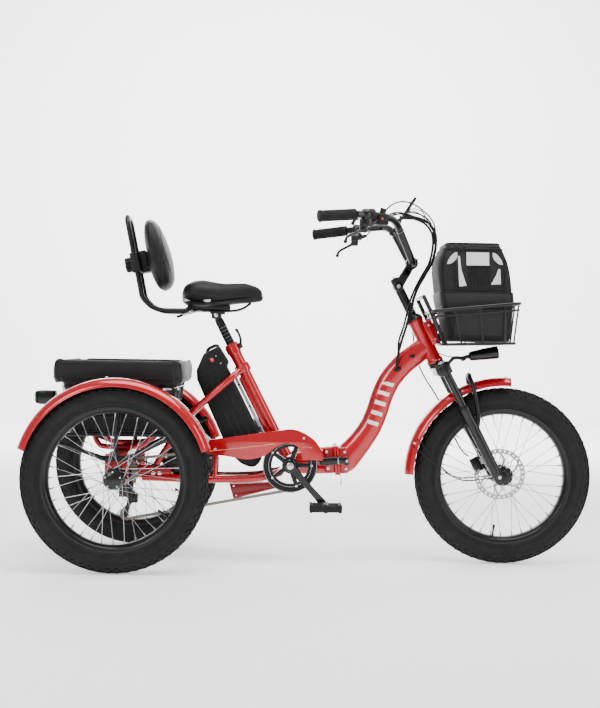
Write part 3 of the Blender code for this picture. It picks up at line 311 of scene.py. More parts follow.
def pipe(points, radius, sides=4, radii=None, closed=False, per_span=6, smooth=True, flat=None):
    """A tube along the points; sides is the curve's bevel resolution."""
    path = smooth_path(points, per_span, closed) if smooth else [Vector(p) for p in points]
    curve = bpy.data.curves.new("pipe", "CURVE")
    curve.dimensions = "3D"
    curve.bevel_depth = radius
    curve.bevel_resolution = sides
    curve.use_fill_caps = not closed
    curve.twist_mode = "MINIMUM"
    spline = curve.splines.new("POLY")
    spline.points.add(len(path) - 1)
    widths = None
    if radii:
        widths = [v.x for v in smooth_path([(r, 0, 0) for r in radii], per_span)] if smooth else radii
    for i, p in enumerate(path):
        spline.points[i].co = (*p, 1.0)
        spline.points[i].radius = widths[i] if widths else 1.0
    spline.use_cyclic_u = closed
    obj = meshed("pipe", curve)
    if flat:
        obj.data.transform(Matrix.Diagonal((*flat, 1.0)))
    return clean(obj)


def plate(outline, thickness, y, edge=0.0008):
    """A flat outline in the XZ plane with rounded edges, its thickness centred on y."""
    curve = bpy.data.curves.new("plate", "CURVE")
    curve.dimensions = "2D"
    curve.fill_mode = "BOTH"
    curve.extrude = thickness / 2 - edge
    curve.bevel_depth = edge
    curve.bevel_resolution = 2
    curve.offset = -edge
    spline = curve.splines.new("POLY")
    spline.points.add(len(outline) - 1)
    for i, p in enumerate(outline):
        spline.points[i].co = (p[0], p[-1], 0.0, 1.0)
    spline.use_cyclic_u = True
    obj = meshed("plate", curve)
    obj.matrix_world = Matrix.Translation((0.0, y, 0.0)) @ Matrix.Rotation(math.pi / 2, 4, "X")
    return clean(settle(obj))


def spun(profile, centre, axis=ACROSS, steps=64, closed=False, start=None, sweep=360.0):
    """A profile of (radius, height along the axis) spun about the axis in edit mode."""
    centre, axis = Vector(centre), Vector(axis).normalized()
    out = Vector(start) if start is not None else (UP if abs(axis.z) < 0.8 else FORE)
    out = (out - axis * out.dot(axis)).normalized()
    edges = [(i, i + 1) for i in range(len(profile) - 1)]
    if closed:
        edges.append((len(profile) - 1, 0))
    obj = from_points("spun", [centre + out * r + axis * h for r, h in profile], edges, [])
    pick(obj)
    bpy.ops.object.mode_set(mode="EDIT")
    bpy.ops.mesh.select_all(action="SELECT")
    bpy.ops.mesh.spin(steps=steps, angle=math.radians(sweep), center=centre, axis=axis)
    bpy.ops.object.mode_set(mode="OBJECT")
    return clean(obj)


def screw_head(at, out, radius=0.004, height=0.0025):
    """A domed socket-head screw lying on a face."""
    out = Vector(out).normalized()
    profile = [(0.0, height * 0.45), (radius * 0.42, height * 0.45), (radius * 0.46, height),
               (radius * 0.8, height), (radius, height * 0.55), (radius, 0.0), (0.0, 0.0)]
    return spun(profile, at, out, 14)


def nut(at, out, radius=0.007, height=0.006):
    out = Vector(out).normalized()
    body = cylinder(at, Vector(at) + out * height, radius, sides=6, edge=0.0006)
    stud = cylinder(Vector(at) + out * height * 0.5, Vector(at) + out * height * 1.35,
                    radius * 0.55, sides=16, edge=0.0005)
    return join(body, stud)


# ---- finishes ---------------------------------------------------------------------------------
def new_group(name, inputs, outputs):
    group = bpy.data.node_groups.new(name, "ShaderNodeTree")
    for label, kind, value in inputs:
        socket = group.interface.new_socket(name=label, in_out="INPUT", socket_type=kind)
        socket.default_value = value
    for label, kind in outputs:
        group.interface.new_socket(name=label, in_out="OUTPUT", socket_type=kind)
    return group, group.nodes.new("NodeGroupInput"), group.nodes.new("NodeGroupOutput")


def set_inputs(node, values):
    for label, value in values.items():
        node.inputs[label].default_value = value


def add_node(tree, kind, **sockets):
    node = tree.nodes.new(kind)
    set_inputs(node, sockets)
    return node


def maths(tree, operation, a, b):
    node = tree.nodes.new("ShaderNodeMath")
    node.operation = operation
    for socket, value in zip(node.inputs, (a, b)):
        if isinstance(value, (int, float)):
            socket.default_value = value
        else:
            tree.links.new(value, socket)
    return node.outputs[0]


def make_grain():
    """Fine noise for moulded and painted skins, with broad patches for their colour."""
    group, given, result = new_group(
        "grain", [("Scale", "NodeSocketFloat", 900.0)],
        [("Height", "NodeSocketFloat"), ("Patch", "NodeSocketFloat")])
    where = group.nodes.new("ShaderNodeTexCoord").outputs["Object"]
    fine = add_node(group, "ShaderNodeTexNoise", Detail=3.0, Roughness=0.6)
    broad = add_node(group, "ShaderNodeTexNoise", Scale=14.0, Detail=5.0, Roughness=0.65)
    for node in (fine, broad):
        group.links.new(where, node.inputs["Vector"])
    group.links.new(given.outputs["Scale"], fine.inputs["Scale"])
    group.links.new(fine.outputs["Fac"], result.inputs["Height"])
    group.links.new(broad.outputs["Fac"], result.inputs["Patch"])
    return group


def make_dust():
    """A thin uneven film of dust over a colour."""
    group, given, result = new_group(
        "dust", [("Color", "NodeSocketColor", (0.0, 0.0, 0.0, 1.0)),
                 ("Dust", "NodeSocketColor", (0.25, 0.23, 0.2, 1.0)),
                 ("Amount", "NodeSocketFloat", 0.1)],
        [("Color", "NodeSocketColor"), ("Mask", "NodeSocketFloat")])
    where = group.nodes.new("ShaderNodeTexCoord").outputs["Object"]
    cloud = add_node(group, "ShaderNodeTexNoise", Scale=38.0, Detail=7.0, Roughness=0.7)
    group.links.new(where, cloud.inputs["Vector"])
    spread = add_node(group, "ShaderNodeMapRange")
    set_inputs(spread, {"From Min": 0.42, "From Max": 0.78})
    group.links.new(cloud.outputs["Fac"], spread.inputs["Value"])
    mask = maths(group, "MULTIPLY", spread.outputs["Result"], given.outputs["Amount"])
    blend = group.nodes.new("ShaderNodeMix")
    blend.data_type = "RGBA"
    group.links.new(mask, blend.inputs["Factor"])
    group.links.new(given.outputs["Color"], blend.inputs[6])
    group.links.new(given.outputs["Dust"], blend.inputs[7])
    group.links.new(blend.outputs[2], result.inputs["Color"])
    group.links.new(mask, result.inputs["Mask"])
    return group


def make_weave():
    """Plain weave: threads up the walls crossing threads round them; the gap mask marks where painted
    shade darkens the gaps between the threads.
    """
    group, given, result = new_group(
        "weave", [("Threads", "NodeSocketFloat", 900.0)],
        [("Height", "NodeSocketFloat"), ("Gap", "NodeSocketFloat")])
    where = group.nodes.new("ShaderNodeTexCoord").outputs["Object"]
    split = group.nodes.new("ShaderNodeSeparateXYZ")
    group.links.new(where, split.inputs[0])
    round_wall = maths(group, "ADD", split.outputs["X"], split.outputs["Y"])
    waves = []
    for along in (round_wall, split.outputs["Z"]):
        turn = maths(group, "MULTIPLY", along, given.outputs["Threads"])
        waves.append(maths(group, "ABSOLUTE", maths(group, "SINE", turn, 0.0), 0.0))
    height = maths(group, "MAXIMUM", waves[0], waves[1])
    gap = maths(group, "MULTIPLY", maths(group, "SUBTRACT", 1.0, waves[0]),
                maths(group, "SUBTRACT", 1.0, waves[1]))
    group.links.new(height, result.inputs["Height"])
    group.links.new(gap, result.inputs["Gap"])
    return group


def make_pebble():
    """Pressed vinyl grain: small pebbles between fine creases; the crease mask marks where painted shade
    darkens the creases.
    """
    group, given, result = new_group(
        "pebble", [("Scale", "NodeSocketFloat", 700.0)],
        [("Height", "NodeSocketFloat"), ("Crease", "NodeSocketFloat")])
    where = group.nodes.new("ShaderNodeTexCoord").outputs["Object"]
    cells = add_node(group, "ShaderNodeTexVoronoi", Randomness=1.0)
    cells.feature = "DISTANCE_TO_EDGE"
    group.links.new(where, cells.inputs["Vector"])
    group.links.new(given.outputs["Scale"], cells.inputs["Scale"])
    height = add_node(group, "ShaderNodeMapRange")
    height.inputs["From Max"].default_value = 0.22
    group.links.new(cells.outputs["Distance"], height.inputs["Value"])
    crease = maths(group, "SUBTRACT", 1.0, height.outputs["Result"])
    group.links.new(height.outputs["Result"], result.inputs["Height"])
    group.links.new(crease, result.inputs["Crease"])
    return group


GRAIN = make_grain()
DUST = make_dust()
WEAVE = make_weave()
PEBBLE = make_pebble()


def finish_of(name, colour, roughness, metallic=0.0, coat=0.0, coat_roughness=0.04, grain=900.0,
              depth=0.00005, vary=0.12, dust=0.0, weave=0.0, pebble=0.0, sheen=0.0, brushed=None,
              rough_vary=0.12, glow=0.0):
    """A node-built finish: base colour with patches, dust, grain, weave or brushing, with painted shade
    in the weave's gaps and the vinyl's creases.
    """
    mat = bpy.data.materials.new(name)
    mat.use_nodes = True
    tree = mat.node_tree
    shader = tree.nodes["Principled BSDF"]
    set_inputs(shader, {"Metallic": metallic, "Coat Weight": coat, "Coat Roughness": coat_roughness})
    if max(colour) < 0.05:
        shader.inputs["Specular IOR Level"].default_value = 0.22
    elif coat > 0.5 and not glow:
        shader.inputs["Specular IOR Level"].default_value = 0.18
    if sheen:
        set_inputs(shader, {"Sheen Weight": sheen, "Sheen Roughness": 0.5})
    fine = tree.nodes.new("ShaderNodeGroup")
    fine.node_tree = GRAIN
    fine.inputs["Scale"].default_value = grain
    shade = tree.nodes.new("ShaderNodeMix")
    shade.data_type = "RGBA"
    shade.inputs[6].default_value = (*(c * (1.0 - vary) for c in colour), 1.0)
    shade.inputs[7].default_value = (*(min(1.0, c * (1.0 + vary)) for c in colour), 1.0)
    tree.links.new(fine.outputs["Patch"], shade.inputs["Factor"])
    tint = shade.outputs[2]
    rough = add_node(tree, "ShaderNodeMapRange")
    set_inputs(rough, {"From Min": 0.3, "From Max": 0.7,
                       "To Min": max(0.02, roughness * (1.0 - rough_vary)),
                       "To Max": min(1.0, roughness * (1.0 + rough_vary))})
    tree.links.new(fine.outputs["Patch"], rough.inputs["Value"])
    roughness_now = rough.outputs["Result"]
    height = fine.outputs["Height"]
    if weave or pebble:
        pattern = tree.nodes.new("ShaderNodeGroup")
        pattern.node_tree = WEAVE if weave else PEBBLE
        pattern.inputs[0].default_value = weave or pebble
        height = pattern.outputs["Height"]
        # painted shade: the weave's gaps and the vinyl's creases are darkened towards a third of the
        # colour
        painted_shade_mix = tree.nodes.new("ShaderNodeMix")
        painted_shade_mix.data_type = "RGBA"
        painted_shade_mix.inputs[7].default_value = (*(c * 0.35 for c in colour), 1.0)
        tree.links.new(maths(tree, "MULTIPLY", pattern.outputs[1], 0.7), painted_shade_mix.inputs["Factor"])
        tree.links.new(tint, painted_shade_mix.inputs[6])
        tint = painted_shade_mix.outputs[2]
    if brushed:
        streak = add_node(tree, "ShaderNodeTexNoise", Scale=120.0, Detail=4.0)
        stretch = tree.nodes.new("ShaderNodeMapping")
        stretch.inputs["Scale"].default_value = brushed
        place = tree.nodes.new("ShaderNodeTexCoord")
        tree.links.new(place.outputs["Object"], stretch.inputs["Vector"])
        tree.links.new(stretch.outputs["Vector"], streak.inputs["Vector"])
        height = streak.outputs["Fac"]
    if dust:
        film = tree.nodes.new("ShaderNodeGroup")
        film.node_tree = DUST
        film.inputs["Amount"].default_value = dust
        tree.links.new(tint, film.inputs["Color"])
        tint = film.outputs["Color"]
        roughness_now = maths(tree, "MAXIMUM", roughness_now, film.outputs["Mask"])
    bump = add_node(tree, "ShaderNodeBump", Strength=0.6, Distance=depth)
    tree.links.new(height, bump.inputs["Height"])
    tree.links.new(bump.outputs["Normal"], shader.inputs["Normal"])
    tree.links.new(tint, shader.inputs["Base Color"])
    tree.links.new(roughness_now, shader.inputs["Roughness"])
    # painted glow: the lens colour also shines out as light of its own
    if glow:
        tree.links.new(tint, shader.inputs["Emission Color"])
        shader.inputs["Emission Strength"].default_value = glow
    return mat


RED = finish_of("candy_red_enamel", (0.42, 0.0006, 0.006), 0.26, 0.3, coat=1.0, grain=300.0,
                depth=0.00002, vary=0.1)
DEEP_RED = finish_of("deep_red_enamel", (0.22, 0.0006, 0.004), 0.33, 0.25, coat=0.6, grain=400.0,
                     depth=0.00003)
WHITE_MARK = finish_of("white_vinyl_marking", (0.8, 0.8, 0.8), 0.35, vary=0.03)
DARK_MARK = finish_of("dark_red_marking", (0.1, 0.004, 0.008), 0.35, vary=0.05)
GOLD_LINE = finish_of("gold_pinstripe", (0.75, 0.52, 0.28), 0.35, 0.4, vary=0.05)
BLACK_PAINT = finish_of("satin_black_coat", (0.0045, 0.0045, 0.005), 0.3, 0.0, coat=0.3,
                        coat_roughness=0.15, grain=1400.0, depth=0.00003, dust=0.008)
GLOSS_BLACK = finish_of("gloss_black_moulding", (0.0035, 0.0035, 0.004), 0.16, coat=0.4, grain=500.0,
                        depth=0.00002, dust=0.005)
MATTE_BLACK = finish_of("textured_black_moulding", (0.006, 0.006, 0.0064), 0.5, grain=1800.0,
                        depth=0.00012, dust=0.01)
TYRE = finish_of("tread_rubber", (0.007, 0.007, 0.0072), 0.7, grain=700.0, depth=0.00015, dust=0.018)
GRIP = finish_of("grip_rubber", (0.005, 0.005, 0.0054), 0.6, grain=1500.0, depth=0.0001, dust=0.01)
CABLE = finish_of("cable_jacket", (0.0045, 0.0045, 0.0048), 0.4, grain=1200.0, depth=0.00005)
RIM_BLACK = finish_of("anodised_black_rim", (0.016, 0.016, 0.017), 0.32, 0.6, coat=0.2, grain=600.0,
                      depth=0.00002)
SPOKE = finish_of("stainless_spoke", (0.3, 0.3, 0.31), 0.26, 1.0, grain=800.0, vary=0.06)
SILVER = finish_of("polished_alloy", (0.7, 0.7, 0.71), 0.24, 1.0, grain=600.0, vary=0.08)
STEEL = finish_of("ground_steel", (0.52, 0.52, 0.53), 0.34, 1.0, vary=0.12,
                  brushed=(1.0, 1.0, 14.0), depth=0.00004)
CHAIN_STEEL = finish_of("oiled_chain_steel", (0.2, 0.185, 0.165), 0.36, 1.0, vary=0.25, dust=0.1)
RAIL_ALLOY = finish_of("grey_extruded_alloy", (0.34, 0.35, 0.37), 0.38, 0.9, vary=0.08,
                       brushed=(14.0, 14.0, 1.0), depth=0.00003)
VINYL = finish_of("pebbled_black_vinyl", (0.0062, 0.0062, 0.0066), 0.44, pebble=620.0, depth=0.0002,
                  dust=0.008)
BAG = finish_of("woven_polyester", (0.012, 0.012, 0.013), 0.8, weave=1600.0, depth=0.0002,
                sheen=0.06, dust=0.01)
BAG_SMOOTH = finish_of("coated_bag_panel", (0.017, 0.017, 0.018), 0.62, weave=2400.0, depth=0.0001,
                       sheen=0.04, dust=0.008)
LINER = finish_of("padded_nylon", (0.008, 0.008, 0.0086), 0.55, weave=1900.0, depth=0.00012,
                  sheen=0.06, dust=0.01)
PIPING = finish_of("edge_piping", (0.005, 0.005, 0.0054), 0.48, grain=1800.0, depth=0.0001)
MESH_WHITE = finish_of("pale_net", (0.62, 0.63, 0.65), 0.75, weave=1300.0, depth=0.0003, vary=0.05)
REFLECT = finish_of("grey_reflective_tape", (0.6, 0.61, 0.62), 0.35, 0.35, grain=2600.0,
                    depth=0.0001, vary=0.08)
# red lens with a painted glow, also used for the horn and power buttons
RED_LENS = finish_of("red_lens", (0.62, 0.01, 0.012), 0.12, coat=1.0, grain=500.0, glow=0.12)
# amber pedal reflector with a painted glow
AMBER_LENS = finish_of("amber_reflector", (0.9, 0.22, 0.01), 0.14, coat=1.0, grain=700.0, glow=0.1)
CLEAR_LENS = finish_of("clear_lens", (0.82, 0.84, 0.86), 0.06, 0.2, coat=1.0, grain=300.0, vary=0.03)
SCREEN = finish_of("dark_screen", (0.012, 0.014, 0.018), 0.08, coat=1.0, grain=300.0)


# ---- wheels -----------------------------------------------------------------------------------
RIM_BORE_R = 0.19
SPOKE_COUNT = 36
TREAD_ROWS = 62


def make_tyre(centre):
    """A fat casing with small tread blocks and ribbed shoulders."""
    section_r, middle_r, half = 0.0355, 0.237, 0.0368
    profile = []
    for i in range(33):
        a = math.radians(-146.0 + 292.0 * i / 32)
        bulge = 1.0 - 0.06 * max(0.0, math.cos(a)) ** 4
        profile.append((middle_r + section_r * bulge * math.cos(a), half * math.sin(a)))
    profile += [(0.2075, 0.019), (0.2075, -0.019)]
    casing = spun(profile, centre, steps=96, closed=True)
    bead_lines = [ring(centre + ACROSS * y * side, ACROSS, r, 0.0007, 96, 6)
                  for side in (1.0, -1.0) for r, y in ((0.221, 0.0335), (0.245, 0.0362))]
    step = 360.0 / TREAD_ROWS
    rows = []
    for y, lean, size, shift in ((0.0058, 0.0, (0.012, 0.0095, 0.0068), 0.0),
                                 (-0.0058, 0.0, (0.012, 0.0095, 0.0068), 0.5),
                                 (0.018, 26.0, (0.0165, 0.0095, 0.0072), 0.5),
                                 (-0.018, -26.0, (0.0165, 0.0095, 0.0072), 0.0),
                                 (0.0276, 50.0, (0.0105, 0.01, 0.007), 0.0),
                                 (-0.0276, -50.0, (0.0105, 0.01, 0.007), 0.5)):
        a = math.asin(y / half)
        r = middle_r + section_r * (1.0 - 0.06 * math.cos(a) ** 4) * math.cos(a)
        tilt = math.radians(lean)
        out = (UP * math.cos(tilt) + ACROSS * math.sin(tilt)).normalized()
        knob = block(size, centre + UP * r + ACROSS * y, FORE, out, 0.0)
        pick(knob)
        bpy.ops.object.mode_set(mode="EDIT")
        bpy.ops.mesh.select_all(action="SELECT")
        bpy.ops.object.mode_set(mode="OBJECT")
        for face in knob.data.polygons:
            face.select = face.normal.dot(out) > 0.9
        bpy.ops.object.mode_set(mode="EDIT")
        bpy.ops.mesh.inset(thickness=0.0011, depth=0.0)
        bpy.ops.mesh.select_all(action="DESELECT")
        bpy.ops.object.mode_set(mode="OBJECT")
        rows.append(repeat(soften(knob, 0.0006, 1), turns(centre, TREAD_ROWS, start=step * shift)))
    return join(casing, *bead_lines, *rows)


def make_rim(centre):
    """A wide alloy rim with hooked walls and a spoke bed."""
    half = [(0.21, 0.0225), (0.2125, 0.024), (0.212, 0.0262), (0.2085, 0.0268),
            (0.2035, 0.0262), (0.1985, 0.0238), (0.193, 0.016), (RIM_BORE_R, 0.008)]
    profile = half + [(r, -y) for r, y in half[::-1]] + [(0.204, -0.019), (0.204, 0.019)]
    return spun(profile, centre, steps=96, closed=True)


def make_spokes(centre, flange_y, flange_r=0.0262):
    """Crossed spokes from two flanges, with a nipple at the rim and a bent head at the hub."""
    spokes = []
    for side in (1.0, -1.0):
        for lean in (1.0, -1.0):
            start = (0.0 if side > 0 else 10.0) + (0.0 if lean > 0 else 20.0)
            foot = around(centre, flange_r, 90.0 + lean * 68.0, centre.y + flange_y * side)
            tip = around(centre, RIM_BORE_R + 0.001, 90.0, centre.y + 0.004 * side)
            along = (tip - foot).normalized()
            wire = cylinder(foot, tip, 0.001, sides=8)
            nipple = cylinder(tip - along * 0.013, tip + along * 0.001, 0.002, 0.0024, sides=10)
            head = ball(foot + ACROSS * 0.0012 * side, 0.0021, segments=10)
            spoke = join(wire, nipple, head)
            spokes.append(repeat(spoke, turns(centre, SPOKE_COUNT // 4, start=start)))
    return join(*spokes)


def make_valve(centre, degrees):
    low = around(centre, RIM_BORE_R + 0.001, degrees)
    high = around(centre, RIM_BORE_R - 0.034, degrees)
    stem = cylinder(low, high, 0.0031, sides=16, edge=0.0004)
    inward = (high - low).normalized()
    cap = cylinder(high - inward * 0.011, high + inward * 0.001, 0.0043, 0.0036, 18, 0.0007)
    washer = cylinder(low, low + inward * 0.0022, 0.006, sides=6, edge=0.0004)
    return join(stem, cap, washer)


def make_hub_shell(centre, half, flange_y, body_r, cap_r):
    """Barrel, flanges, bearing caps, cones and locknuts."""
    right = [(0.0, half), (0.0052, half), (0.0052, half - 0.006), (0.0085, half - 0.0065),
             (0.0085, half - 0.01), (cap_r * 0.55, half - 0.011), (cap_r, flange_y + 0.008),
             (cap_r, flange_y + 0.003), (0.03, flange_y + 0.0026), (0.0306, flange_y),
             (0.0296, flange_y - 0.0028), (body_r + 0.004, flange_y - 0.004),
             (body_r, flange_y - 0.01)]
    return spun(right + [(r, -y) for r, y in right[::-1]], centre, steps=40)


def make_wheel(prefix, centre, body, half, hub_paint, valve_at):
    tyre = fit(make_tyre(centre), prefix + "_tread_tyre", TYRE, body,
               [prefix + "_tyre"], 30.0)
    fit(make_rim(centre), prefix + "_deep_rim", RIM_BLACK, body, [prefix + "_rim"])
    fit(make_hub_shell(centre, half, 0.0275, 0.015, 0.0205), prefix + "_hub_shell", hub_paint,
        body, [prefix + "_hub"])
    fit(make_spokes(centre, 0.0275), prefix + "_spokes", SPOKE, body)
    fit(make_valve(centre, valve_at), prefix + "_valve", GLOSS_BLACK, body)
    return tyre


def make_front_wheel():
    make_wheel("front", FRONT_AXLE, "front_wheel", 0.05, RIM_BLACK, -98.0)
    at = FRONT_AXLE + ACROSS * 0.0415
    band = spun([(0.08, 0.0009), (0.08, -0.0009), (0.0655, -0.0009), (0.0655, 0.0009)], at,
                steps=96, closed=True)
    slots = repeat(cylinder(at + UP * 0.0728 - ACROSS * 0.004, at + UP * 0.0728 + ACROSS * 0.004,
                            0.0031, sides=12), turns(at, 30))
    carve(band, slots)
    arm = pipe([at + Vector((0.006, 0, 0.022)), at + Vector((0.014, 0, 0.044)),
                at + Vector((0.002, 0, 0.067))], 0.0034, 2)
    arm.data.transform(Matrix.Translation(ACROSS * at.y) @ Matrix.Diagonal((1.0, 0.26, 1.0, 1.0))
                       @ Matrix.Translation(-ACROSS * at.y))
    arms = repeat(arm, turns(at, 6))
    carrier = spun([(0.027, 0.0012), (0.027, -0.0012), (0.015, -0.0012), (0.015, 0.0012)], at,
                   steps=40, closed=True)
    bolts = repeat(screw_head(at + UP * 0.022 + ACROSS * 0.0012, ACROSS, 0.0036), turns(at, 6))
    fit(join(band, arms, carrier, bolts), "disc_rotor", STEEL, "front_wheel",
        ["brake_rotor"])
    nuts = [nut(FRONT_AXLE + ACROSS * 0.048 * side, ACROSS * side, 0.008, 0.0055)
            for side in (1.0, -1.0)]
    fit(join(*nuts), "front_axle_nuts", SILVER, "front_wheel")


def make_rear_wheels():
    for prefix, centre, side in (("right_rear", RIGHT_AXLE, -1.0), ("left_rear", LEFT_AXLE, 1.0)):
        body = prefix.split("_")[0] + "_wheel"
        make_wheel(prefix, centre, body, 0.046, RIM_BLACK, -35.0)
        out = ACROSS * side
        cap = spun([(0.0, 0.0505), (0.009, 0.05), (0.02, 0.0478), (0.0262, 0.044),
                    (0.0282, 0.0385), (0.0282, 0.028), (0.0, 0.028)], centre, out, 40)
        studs = repeat(screw_head(centre + UP * 0.0225 + out * 0.0458, out, 0.003, 0.0016),
                       turns(centre, 5))
        inner = spun([(0.0, -0.0555), (0.011, -0.0555), (0.0115, -0.05), (0.02, -0.047),
                      (0.025, -0.038), (0.025, -0.03), (0.0, -0.03)], centre, out, 32)
        fit(join(cap, inner), prefix + "_hub_caps", BLACK_PAINT, body)
        fit(studs, prefix + "_hub_studs", SILVER, body)


# ---- mudguards --------------------------------------------------------------------------------
def make_guard_shell(centre, outer_r, half, start, end, drop=0.021):
    """A crowned mudguard with rolled edges, spun round the wheel's axle."""
    crown = []
    for i in range(17):
        t = -1.0 + i / 8.0
        crown.append((outer_r - drop * abs(t) ** 3.6, half * t))
    lip = [(outer_r - drop - 0.004, half * 0.995)]
    profile = [(r, -y) for r, y in lip] + crown + lip
    shell = spun(profile, centre, ACROSS, int(abs(end - start) / 2.5),
                 start=around(Vector((0, 0, 0)), 1.0, start), sweep=end - start)
    apply_modifier(shell, "SOLIDIFY", thickness=0.0016, offset=-1.0)
    soften(shell, 0.0005, 2, 50.0)
    rims = [pipe(arc(centre, outer_r - drop - 0.004, start, end, 40,
                     centre.y + half * 0.995 * side),
                 0.0018, 2, smooth=False) for side in (1.0, -1.0)]
    return join(shell, *rims)


def make_rear_guards():
    for name, centre, side in (("right", RIGHT_AXLE, -1.0), ("left", LEFT_AXLE, 1.0)):
        fit(make_guard_shell(centre, 0.293, 0.045, 18.0, 163.0), name + "_mudguard", RED,
            "rear_frame", [name + "_rear_fender"], 44.0)
        foot_y = 0.27 * side
        bar = block((0.08, 0.005, 0.016), (-0.584, foot_y, 0.329), edge=0.0015)
        stays = [bar]
        for x, angle in ((-0.612, 153.0), (-0.584, 90.0), (-0.556, 33.0)):
            top = around(centre, 0.28, angle, 0.2758 * side)
            foot = Vector((x, foot_y, 0.326))
            lug = top + (foot - top).normalized() * 0.012
            stays.append(pipe([foot, foot.lerp(top, 0.5), lug, top], 0.006, 4, smooth=False,
                              radii=[1.25, 0.85, 1.2, 1.6]))
        fit(join(*stays), name + "_mudguard_stays", BLACK_PAINT, "rear_frame")
        bolts = [screw_head(around(centre, 0.2926, angle, centre.y - 0.03 * side),
                            around(Vector((0, 0, 0)), 1.0, angle), 0.0052, 0.0034)
                 for angle in (96.0, 62.0, 134.0)]
        fit(join(*bolts), name + "_mudguard_bolts", SILVER, "rear_frame")


def make_front_guard():
    fit(make_guard_shell(FRONT_AXLE, 0.306, 0.0415, 86.0, 180.0), "front_mudguard", RED,
        "fork_lower", ["front_fender"], 44.0)
    stays = []
    for side in (1.0, -1.0):
        foot = around(FRONT_AXLE, 0.038, 190.0, 0.0448 * side)
        for tip_at in (163.0, 158.0):
            stays.append(pipe([around(FRONT_AXLE, 0.292, tip_at, 0.0395 * side),
                               around(FRONT_AXLE, 0.28, tip_at + 0.6, 0.043 * side),
                               around(FRONT_AXLE, 0.15, 183.0, 0.0446 * side), foot],
                              0.0015, 2, per_span=5))
    fit(join(*stays), "front_mudguard_stays", BLACK_PAINT, "fork_lower")
    bolts = [screw_head(around(FRONT_AXLE, 0.3058, 88.5, 0.0), UP, 0.005, 0.003)]
    bolts += [screw_head(around(FRONT_AXLE, 0.2945, 160.5, 0.041 * side), ACROSS * side, 0.0042)
              for side in (1.0, -1.0)]
    fit(join(*bolts), "front_mudguard_bolts", SILVER, "fork_lower")


# ---- front frame half -------------------------------------------------------------------------
# x, z and radius along the curved front tube
S_LINE = [(0.08, 0.315, 0.042), (0.099, 0.3165, 0.043), (0.118, 0.336, 0.041),
          (0.148, 0.372, 0.037), (0.178, 0.417, 0.035), (0.199, 0.467, 0.0345),
          (0.215, 0.518, 0.0345), (0.239, 0.569, 0.035), (0.274, 0.612, 0.035),
          (0.313, 0.645, 0.034), (0.345, 0.67, 0.033)]
FRAME_FLATNESS = 0.66


def lifted_patch(obj, chosen, lift, thickness):
    """A thin marking made from the faces of obj that are chosen by centre and normal."""
    copy = own_copy(obj)
    for face in copy.data.polygons:
        face.select = not chosen(face.center, face.normal)
    pick(copy)
    bpy.ops.object.mode_set(mode="EDIT")
    bpy.ops.mesh.select_mode(type="FACE")
    bpy.ops.object.mode_set(mode="OBJECT")
    for face in copy.data.polygons:
        face.select = not chosen(face.center, face.normal)
    bpy.ops.object.mode_set(mode="EDIT")
    bpy.ops.mesh.delete(type="FACE")
    bpy.ops.mesh.select_all(action="SELECT")
    bpy.ops.transform.shrink_fatten(value=lift)
    bpy.ops.object.mode_set(mode="OBJECT")
    return apply_modifier(copy, "SOLIDIFY", thickness=thickness, offset=-1.0)


